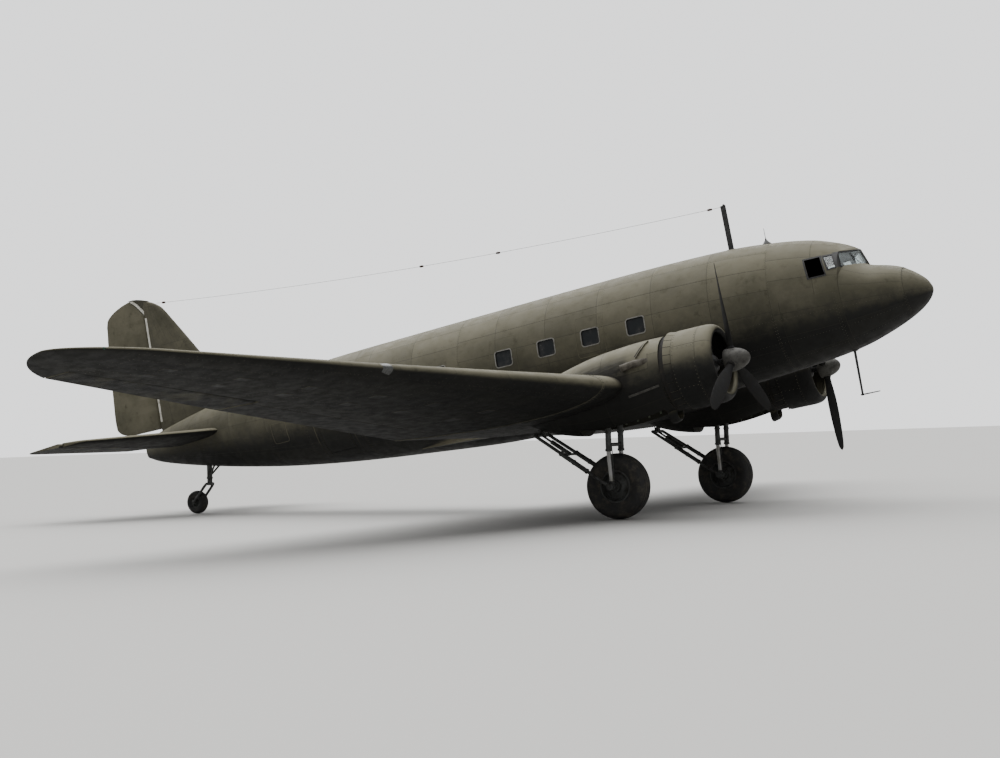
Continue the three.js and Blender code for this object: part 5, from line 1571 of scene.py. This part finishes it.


# Nacelle fittings: exhaust outlet, slot above it, oil cooler duct and the wheel well's frames
def nacelleSkin(station, angleDegrees, sign, out=0.0):
    top, bottom, half = rowAt(nacelleTable, station)[1:]
    c, s = squarish(radians(angleDegrees), nacellePower)
    place = at(station, sign * (trackHalf - half * c), (top + bottom) / 2 + (top - bottom) / 2 * s)
    middle = at(station, sign * trackHalf, (top + bottom) / 2)
    return place + (place - middle).normalized() * out


def patchOn(sign, corners, low, high, steps=6):
    # A thin closed patch over the nacelle's skin between four (station, angle) corners
    rings = []
    for i in range(steps + 1):
        t = i / steps
        outer, inner = [], []
        for k in range(steps + 1):
            u = k / steps
            a = [corners[0][j] * (1 - u) + corners[1][j] * u for j in (0, 1)]
            b = [corners[3][j] * (1 - u) + corners[2][j] * u for j in (0, 1)]
            station, angle = (a[j] * (1 - t) + b[j] * t for j in (0, 1))
            outer.append(nacelleSkin(station, angle, sign, high))
            inner.append(nacelleSkin(station, angle, sign, low))
        rings.append(outer + inner[::-1])
    return loft("patch", rings)


def shrunk(ring, share, moved=Vector()):
    middle = sum(ring, Vector()) / len(ring)
    return [middle + (p - middle) * share + moved for p in ring]


def buildNacelleFittings(side, sign):
    centre = sign * trackHalf
    stack = ((4.30, 158, -0.10), (4.46, 159, -0.01), (4.66, 160, 0.028), (4.88, 161.5, 0.044))
    path = smoothPath([nacelleSkin(station, angle, sign, out) for station, angle, out in stack], 5)
    rings = []
    for i, point in enumerate(path):
        along = alongPath(path, i)
        across = (up - along * along.dot(up)).normalized()
        other = along.cross(across)
        size = 1.0 + 0.10 * (i == len(path) - 1)
        rings.append([point + across * (0.062 * size * cos(a)) + other * (0.048 * size * sin(a)) for a in circle(28)])
    back = (path[-3] - path[-1]).normalized()
    rings += [shrunk(rings[-1], 0.86), shrunk(rings[-1], 0.84, back * 0.12)]
    finishPiece(loft("exhaust", rings), f"exhaust_outlet_{side}", "exhaust")
    guard = patchOn(sign, [(4.38, 171), (4.38, 147), (4.98, 149), (4.98, 171)], -0.002, 0.004)
    finishPiece(guard, f"exhaust_heat_plate_{side}", "nacelle", slotName="dark_metal")
    # dark ring under the gills: painted shade for the gap into the nacelle
    shroud = turned("shroud", [(0.655, -4.178), (0.655, -3.95), (0.690, -3.94), (0.690, -3.955), (0.668, -3.97),
        (0.668, -4.178)], at(0, centre, thrustZ), forward, 96)
    finishPiece(shroud, f"gill_shroud_{side}", "blackSootAndShade")
    # the slots are dark patches beside raised lips: painted shade for their openings
    slotShade, lips = [], []
    for s0, a0, s1, a1, wide in ((4.42, 117, 4.50, 136, 0.075), (4.50, 136, 4.60, 151, 0.070)):
        slotShade.append(patchOn(sign, [(s0, a0), (s0 + wide, a0 + 1), (s1 + wide, a1 + 1), (s1, a1)], -0.004, 0.003))
        lips.append(patchOn(sign, [(s0 - 0.012, a0), (s0 + 0.004, a0), (s1 + 0.004, a1), (s1 - 0.012, a1)], -0.004,
            0.032))
    finishPiece(slotShade, f"air_slots_{side}", "blackSootAndShade")
    finishPiece(lips, f"air_slot_lips_{side}", "plain")
    rings = []
    for station, half, drop in ((4.20, 0.165, 0.155), (4.24, 0.185, 0.178), (4.5, 0.200, 0.190), (4.8, 0.185, 0.165),
            (5.1, 0.150, 0.110), (5.35, 0.100, 0.045)):
        under = rowAt(nacelleTable, station)[2] + 0.09
        rings.append([at(station, centre + half * c, under - drop / 2 + (drop / 2 + 0.06) * s - 0.03) for c,
            s in (squarish(angle, 0.75) for angle in circle(32))])
    rings = [shrunk(rings[0], 0.86, forward * -0.14), shrunk(rings[0], 0.90), *rings]
    front, rear, half, top = (wheelWell[key] for key in ("front", "rear", "half", "top"))
    well = prismAcrossY("well", [(front, top), (front, -1.9), (rear, -1.9), (rear, top)], centre - half,
        centre + half)
    duct = cut(loft("duct", rings), well)
    finishPiece(duct, f"oil_cooler_duct_{side}", "nacelle")
    ridge = patchOn(sign, [(4.24, 194.5), (4.24, 197.5), (4.84, 199), (4.84, 196)], -0.004, 0.022)
    finishPiece(ridge, f"nacelle_side_ridge_{side}", "spinner", slotName="hull_paint")
    hoops = []
    for station in spread(front + 0.12, rear - 0.40, 0.26):
        bottomZ = rowAt(nacelleTable, station)[2] + 0.13
        for way in (-1, 1):
            y0 = centre + way * half
            hoops.append(block("hoop", station - 0.016, station + 0.016, y0 - way * 0.0004, y0 - way * 0.022, bottomZ,
                top - 0.001))
        hoops.append(block("hoop", station - 0.016, station + 0.016, centre - half + 0.023, centre + half - 0.023,
            top - 0.024, top - 0.0004))
    for y, z, radius in ((0.30, top - 0.05, 0.012), (0.27, top - 0.05, 0.008), (-0.31, top - 0.12, 0.014)):
        hoops.append(rod("pipe", at(front + 0.01, centre + y, z), at(rear - 0.28, centre + y, z), radius, 12))
    finishPiece(hoops, f"wheel_well_frames_{side}", "interior")


# Cockpit furniture
cockpitSeat = {"half": 0.20, "front": 2.06, "rear": 2.48, "base": -0.25}


def padPiece(centre, halfAcross, halfAlong, thickness, tilt, channels=4):
    # A crowned cushion with sewn channels, its sides pulled in between the corners
    steps = 28
    bm = bmesh.new()

    def shaped(u, v, side):
        pull = 1 - 0.05 * (1 - u * u) * abs(v) - 0.05 * (1 - v * v) * abs(u)
        edge = ((1 - abs(u) ** 6) * (1 - abs(v) ** 6)) ** 0.5
        groove = 0.14 * exp(-((cos(pi * channels * (u + 1) / 2)) ** 2) * 18) * edge
        rise = (0.16 + 0.84 * edge * (0.72 + 0.28 * (1 - u * u) * (1 - v * v)) - groove) if side > 0 else -0.55 * edge
        place = Vector((v * halfAlong * pull, u * halfAcross * pull, thickness / 2 * rise))
        return centre + Matrix.Rotation(tilt, 3, "Y") @ place

    grid = {}
    for side in (1, -1):
        for i in range(steps + 1):
            for k in range(steps + 1):
                rim = i in (0, steps) or k in (0, steps)
                key = (i, k, 1 if rim else side)
                if key not in grid:
                    grid[key] = bm.verts.new(shaped(2 * i / steps - 1, 2 * k / steps - 1, 1 if rim else side))
    for side in (1, -1):
        for i in range(steps):
            for k in range(steps):
                corners = [(i, k), (i + 1, k), (i + 1, k + 1), (i, k + 1)]
                bm.faces.new([grid[(a, b, 1 if a in (0, steps) or b in (0, steps) else side)] for a, b in corners])
    return fromBmesh("pad", bm)


def buildSeats():
    for side, sign in sides.items():
        y = sign * 0.4
        s = cockpitSeat
        parts = [rod("leg", at(st, y + w, s["base"] + 0.002), at(st - 0.02, y + w * 0.9, 0.10), 0.018, 16)
            for st in (2.12, 2.44) for w in (-0.16, 0.16)]
        parts.append(block("pan", s["front"], s["rear"], y - s["half"] - 0.01, y + s["half"] + 0.01, 0.10, 0.125))
        for w in (-1, 1):
            parts.append(prismAcrossY("cheek", [(s["front"] + 0.06, 0.10), (s["rear"], 0.10), (2.56, 0.62),
                (2.50, 0.62), (2.38, 0.26), (2.12, 0.20)], y + w * (s["half"] + 0.002), y + w * (s["half"] + 0.014)))
        parts.append(prismAcrossY("back", [(2.475, 0.10), (2.495, 0.10), (2.60, 0.765), (2.58, 0.77)],
            y - s["half"] - 0.012, y + s["half"] + 0.012))
        parts += [rod("rail", at(2.05, y + w, s["base"] + 0.012), at(2.52, y + w, s["base"] + 0.012), 0.012, 12)
            for w in (-0.145, 0.145)]
        finishPiece(parts, f"seat_frame_{side}", "interior", f"pilot_seat_{side}")
        seatPad = padPiece(at((s["front"] + s["rear"]) / 2 - 0.01, y, 0.155), s["half"] - 0.008, 0.195, 0.10, 0.0)
        backPad = padPiece(at(2.488, y, 0.47), s["half"] - 0.008, 0.25, 0.09, radians(99 - 180))
        for name, pad in (("seat", seatPad), ("back", backPad)):
            piece = finishPiece(pad, f"{name}_cushion_{side}", "leather", sharp=60)
        lap = ((2.44, 1, 0.20), (2.36, 0.9, 0.235), (2.24, 0.6, 0.225), (2.17, 0.3, 0.222))
        belts = [tube("belt", [at(st, y + w * share, z) for st, share, z in lap], 0.016, 10) for w in (-0.09, 0.09)]
        finishPiece(belts, f"seat_belts_{side}", "fabric")


def buildPanel():
    front = cockpit["panelStation"] + 0.02
    board = prismAcrossX("board", [(-0.66, 0.20), (0.66, 0.20), (0.64, 0.62), (0.30, 0.675), (-0.30, 0.675),
        (-0.64, 0.62)], front, front + 0.03)
    shieldRings = []
    for s_, lift in ((front - 0.01, 0.0), (front + 0.05, 0.008), (front + 0.12, 0.0)):
        outer = [at(s_, y, 0.688 + lift - 0.09 * (y / 0.66) ** 2) for y in spread(-0.66, 0.66, 0.08)]
        inner = [p - up * 0.014 for p in reversed(outer)]
        shieldRings.append(outer + inner)
    shield = loft("shield", shieldRings)
    stand = prismAcrossY("stand", [(front, -0.245), (front, 0.25), (front + 0.12, 0.30), (front + 0.42, 0.05),
        (front + 0.42, -0.245)], -0.13, 0.13)
    finishPiece([board, shield, stand], "instrument_board", "black")
    bezels, faces, marks = [], [], []
    places = [(y, z, 0.045) for z in (0.54, 0.42) for y in (-0.54, -0.43, -0.32, 0.32, 0.43, 0.54)]
    places += [(y, z, 0.036) for z in (0.58, 0.48, 0.38) for y in (-0.14, -0.05, 0.05, 0.14)]
    places += [(y, 0.30, 0.036) for y in (-0.48, -0.38, 0.38, 0.48)]
    aft = -forward
    for y, z, radius in places:
        centre = at(front + 0.030, y, z)
        bezel = [(radius, -0.004), (radius, 0.010), (radius - 0.006, 0.012), (radius - 0.008, 0.004),
            (radius - 0.008, -0.004)]
        bezels.append(turned("bezel", bezel, centre, aft, 28))
        faces.append(turned("face", [(0.0, -0.003), (radius - 0.0085, -0.003), (radius - 0.0085, 0.003),
            (0.0, 0.003)], centre, aft, 28))
        turn = (y * 37 + z * 11) % 6.28
        needle = spoke(turn)
        marks.append(rod("needle", centre + aft * 0.004, centre + aft * 0.004 + needle * (radius - 0.014), 0.0016, 6))
        for spot in (spoke(pi * k / 4) for k in range(8)):
            marks.append(rod("tick", centre + aft * 0.0035 + spot * (radius - 0.0155),
                centre + aft * 0.0035 + spot * (radius - 0.0105), 0.0011, 4))
    finishPiece(bezels, "dial_bezels", "gear", slotName="dark_metal")
    finishPiece(faces, "dial_faces", "blackSootAndShade")
    finishPiece(marks, "dial_marks", "rim")
    levers = []
    for k in range(6):
        y = -0.085 + 0.034 * k
        tip = at(front + 0.20 + 0.03 * (k % 3), y, 0.40)
        levers.append(rod("lever", at(front + 0.20, y, 0.20), tip, 0.006, 10))
        levers.append(turned("knob", mirrored([(0.0, -0.018), (0.013, -0.013), (0.018, 0.0)]), tip, port, 16))
    for y in (-0.54, -0.28, 0.28, 0.54):
        levers += [rod("pedalArm", at(front + 0.06, y, 0.0), at(front + 0.17, y, -0.14), 0.010, 10),
            block("pedal", front + 0.15, front + 0.165, y - 0.06, y + 0.06, -0.20, -0.06)]
    finishPiece(levers, "levers_and_pedals", "gear")
    rear = frames["cockpit"] - 0.06
    parts = [prismAcrossX("door", roundedOutline(0.0, 0.42, 0.56, 1.24, 0.06), rear - 0.012, rear + 0.02),
        rod("handle", at(rear - 0.05, 0.2, 0.40), at(rear - 0.012, 0.2, 0.40), 0.010, 12)]
    finishPiece(parts, "cockpit_door", "interior")


def buildHatches():
    outlines = []

    def outline(s0, s1, z0, z1, sign, corner=0.06, width=0.012):
        edge, inner = (prismAcrossY("edge", roundedOutline((s0 + s1) / 2, (z0 + z1) / 2, s1 - s0 - 2 * off,
            z1 - z0 - 2 * off, corner - off), sign * 0.55, sign * 1.4) for off in (0, width))
        layer = hullLayer(spread(s0 - 0.1, s1 + 0.1, 0.12), -0.003, 0.004)
        outlines.append(cut(common(layer, edge), inner))

    outline(3.05, 3.95, -0.35, 0.72, 1)
    for sign in sides.values():
        for middle in (6.375, 8.325):
            outline(middle - 0.31, middle + 0.31, 0.10, 0.92, sign)
    outline(14.1, 14.55, -0.1, 0.35, -1)
    outline(12.32, 13.34, -0.69, 1.0, -1)
    finishPiece(outlines, "hatch_outlines", "plain")


# Trim tabs, filler caps and the light edge on the fin
def buildSmallFittings():
    plates, caps = [], []
    capProfile = [(0.0, 0.0), (0.070, 0.0), (0.070, 0.008), (0.060, 0.010), (0.056, 0.006), (0.0, 0.007)]
    for side, sign in sides.items():
        for y in (2.1, 5.1):
            share = 0.34
            leading, trailing = wingEdges(y)[:2]
            spot = at(leading + share * (trailing - leading), sign * y, skinHeight(y, share, 1) - 0.004)
            caps.append(turned("cap", capProfile, spot, up, 32))
        for y in (5.6, 6.9, 8.2, 9.6, 10.9, 12.2):
            for middle in (0.32, 0.50):
                rings = []
                for share in spread(middle - 0.03, middle + 0.03, 0.02):
                    line = [wingPoint(sign * (y + d), share, -1, 0.003) for d in (-0.11, 0.11)]
                    rings.append([line[0], line[1], line[1] + up * 0.008, line[0] + up * 0.008])
                plates.append(loft("cover", rings))
        tabs = []
        hinge = tailplane["trailing"] - 0.20
        for face in (-1, 1):
            rings = []
            for y in spread(1.0, 2.3, 0.3):
                trailing, half = tailplaneEdges(y)[1:]
                near = half * (trailing - hinge) / (trailing - tailplane["hinge"]) + 0.0045
                edge, z = trailing - 0.002, tailplane["z"]
                rings.append([at(s, sign * y, z + face * h) for s,
                    h in ((hinge, near), (edge, 0.007), (edge, 0), (hinge, 0))])
            tabs.append(loft("tab", rings))
        tabs.append(rod("tabRod", at(18.15, sign * 1.6, 0.69), at(hinge + 0.03, sign * 1.6, 0.625), 0.007, 10))
        finishPiece(tabs, f"elevator_tab_{side}", "plain", body="elevators", slotName="fabric_paint")
    finishPiece(plates, "wing_access_covers", "plain")
    finishPiece(caps, "tank_filler_caps", "fastener")
    strips = []
    for way in (-1, 1):
        rings = []
        for z in spread(1.15, 3.70, 0.2):
            half = finHalf(z)
            back = fin["hinge"] - half - fin["gap"] - 0.0005
            rings.append([at(back - off, way * (half + out), z) for off,
                out in ((0.055, -0.004), (0.055, 0.003), (0, 0.003), (0, -0.004))])
        strips.append(loft("strip", rings))
        near, far = sorted((way * (finHalf(4.0) - 0.002), way * (finHalf(4.0) + 0.003)))
        strips.append(prismAcrossY("strip", [(18.287, 3.75), (18.417, 3.903), (18.557, 4.063), (18.72, 4.195),
            (18.62, 4.195), (18.50, 4.090), (18.362, 3.935), (18.245, 3.79), (18.245, 3.75)], near, far))
    finishPiece(strips, "fin_post_strips", "paleEdge")
    tabs = []
    for way in (-1, 1):
        rings = []
        for z in spread(1.35, 2.35, 0.25):
            trailing = rowAt(rudderTable, z)[1]
            s0, edge = trailing - 0.24, trailing - 0.002
            near = finHalf(z) * (trailing - s0) / (trailing - fin["hinge"]) + 0.0045
            rings.append([at(s, way * y, z) for s, y in ((s0, near), (edge, 0.007), (edge, 0), (s0, 0))])
        tabs.append(loft("tab", rings))
    tabs.append(rod("tabRod", at(19.15, 0.07, 1.85), at(19.50, 0.035, 1.85), 0.007, 10))
    finishPiece(tabs, "rudder_tab", "plain", body="rudder", slotName="fabric_paint")
    wipers = []
    for sign in sides.values():
        foot, tip, low, high = (onWindscreen(sign * y, z, 0.012) for y,
            z in ((0.20, 0.735), (0.30, 0.905), (0.30, 0.815), (0.30, 0.975)))
        wipers += [rod("arm", foot, tip, 0.006, 8, endRadius=0.004), rod("blade", low, high, 0.006, 8)]
    finishPiece(wipers, "windscreen_wipers", "black")


buildFastenerRows()
print("fastener rows made")
buildWingJoints()
buildFillets()
buildLamps()
buildAerials()
for side, sign in sides.items():
    buildNacelleFittings(side, sign)
buildSeats()
buildPanel()
buildHatches()
buildSmallFittings()
print("fittings made")


# Finishes of the nodes that stay as they are
keptNodes = dict.fromkeys(("control_column_left", "control_column_right", "roof_mast", "chin_mast"), "black")
keptNodes.update({f"{kind}_{side}": "glass" for kind in panes for side in sides})
for name, look in keptNodes.items():
    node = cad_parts[name]
    for materialSlot in node.material_slots:
        materialSlot.material = looks[look]

# Floor, light and the photograph's camera
floor = {"reach": 400.0, "colour": (0.44, 0.435, 0.42), "below": 0.004}
floorMesh = bpy.data.meshes.new("floor")
floorMesh.from_pydata([(x * floor["reach"], y * floor["reach"], -floor["below"]) for x,
    y in ((-1, -1), (1, -1), (1, 1), (-1, 1))], [], [(0, 1, 2, 3)])
floorObject = newObject("floor", floorMesh)
floorMaterial, _, floorShader = newMaterial("paleFloor", 0.9)
plug(floorShader, {"Base Color": colour(floor["colour"])})
floorMesh.materials.append(floorMaterial)

studio = {"shown": 1.9, "shining": 0.5}
world = bpy.data.worlds.new("studio")
world.use_nodes = True
backdrop = world.node_tree.nodes["Background"]
ray = world.node_tree.nodes.new("ShaderNodeLightPath")  # the plain sky shows paler than it shines
seen = calculate("MAXIMUM", ray.outputs["Is Camera Ray"], ray.outputs["Is Transmission Ray"])
strength = plus(times(seen, studio["shown"] - studio["shining"]), studio["shining"])
plug(backdrop, {0: colour((0.86, 0.865, 0.87)), 1: strength})
bpy.context.scene.world = world


def areaLight(name, place, target, size, power):
    data = bpy.data.lights.new(name, "AREA")
    data.shape = "DISK"
    data.size = size
    data.energy = power
    light = newObject(name, data)
    light.location = place
    light.rotation_euler = (Vector(target) - Vector(place)).to_track_quat("-Z", "Y").to_euler()


key = bpy.data.lights.new("keyLight", "SUN")
key.energy, key.angle = 6.0, radians(100)
keyLight = newObject("keyLight", key)
keyLight.rotation_euler = Vector((0.42, -0.2, -1)).to_track_quat("-Z", "Y").to_euler()
areaLight("fillLight", (30, -34, 16), (2, 0, 2), 18, 600)

photoCamera = {"x": 11.3332, "y": -28.2797, "z": 1.5715, "yaw": 2.0646, "pitch": 0.0377, "roll": -0.0335,
    "focalPixels": 1525.6, "imageWidth": 1000, "sensor": 36.0}
cameraData = bpy.data.cameras.new("photoCamera")
cameraData.sensor_width = photoCamera["sensor"]
cameraData.sensor_fit = "HORIZONTAL"
cameraData.lens = photoCamera["focalPixels"] * photoCamera["sensor"] / photoCamera["imageWidth"]
cameraData.clip_end = 2000
camera = newObject("photoCamera", cameraData)
yaw, pitch, roll = (photoCamera[key] for key in ("yaw", "pitch", "roll"))
ahead = Vector((cos(yaw) * cos(pitch), sin(yaw) * cos(pitch), sin(pitch)))
level = ahead.cross(up).normalized()
above = level.cross(ahead)
right = level * cos(roll) + above * sin(roll)
above = above * cos(roll) - level * sin(roll)
pose = Matrix((right, above, -ahead)).transposed().to_4x4()
pose.translation = Vector((photoCamera["x"] + (parked @ mainAxle).x, photoCamera["y"], photoCamera["z"]))
camera.matrix_world = pose
bpy.context.scene.camera = camera
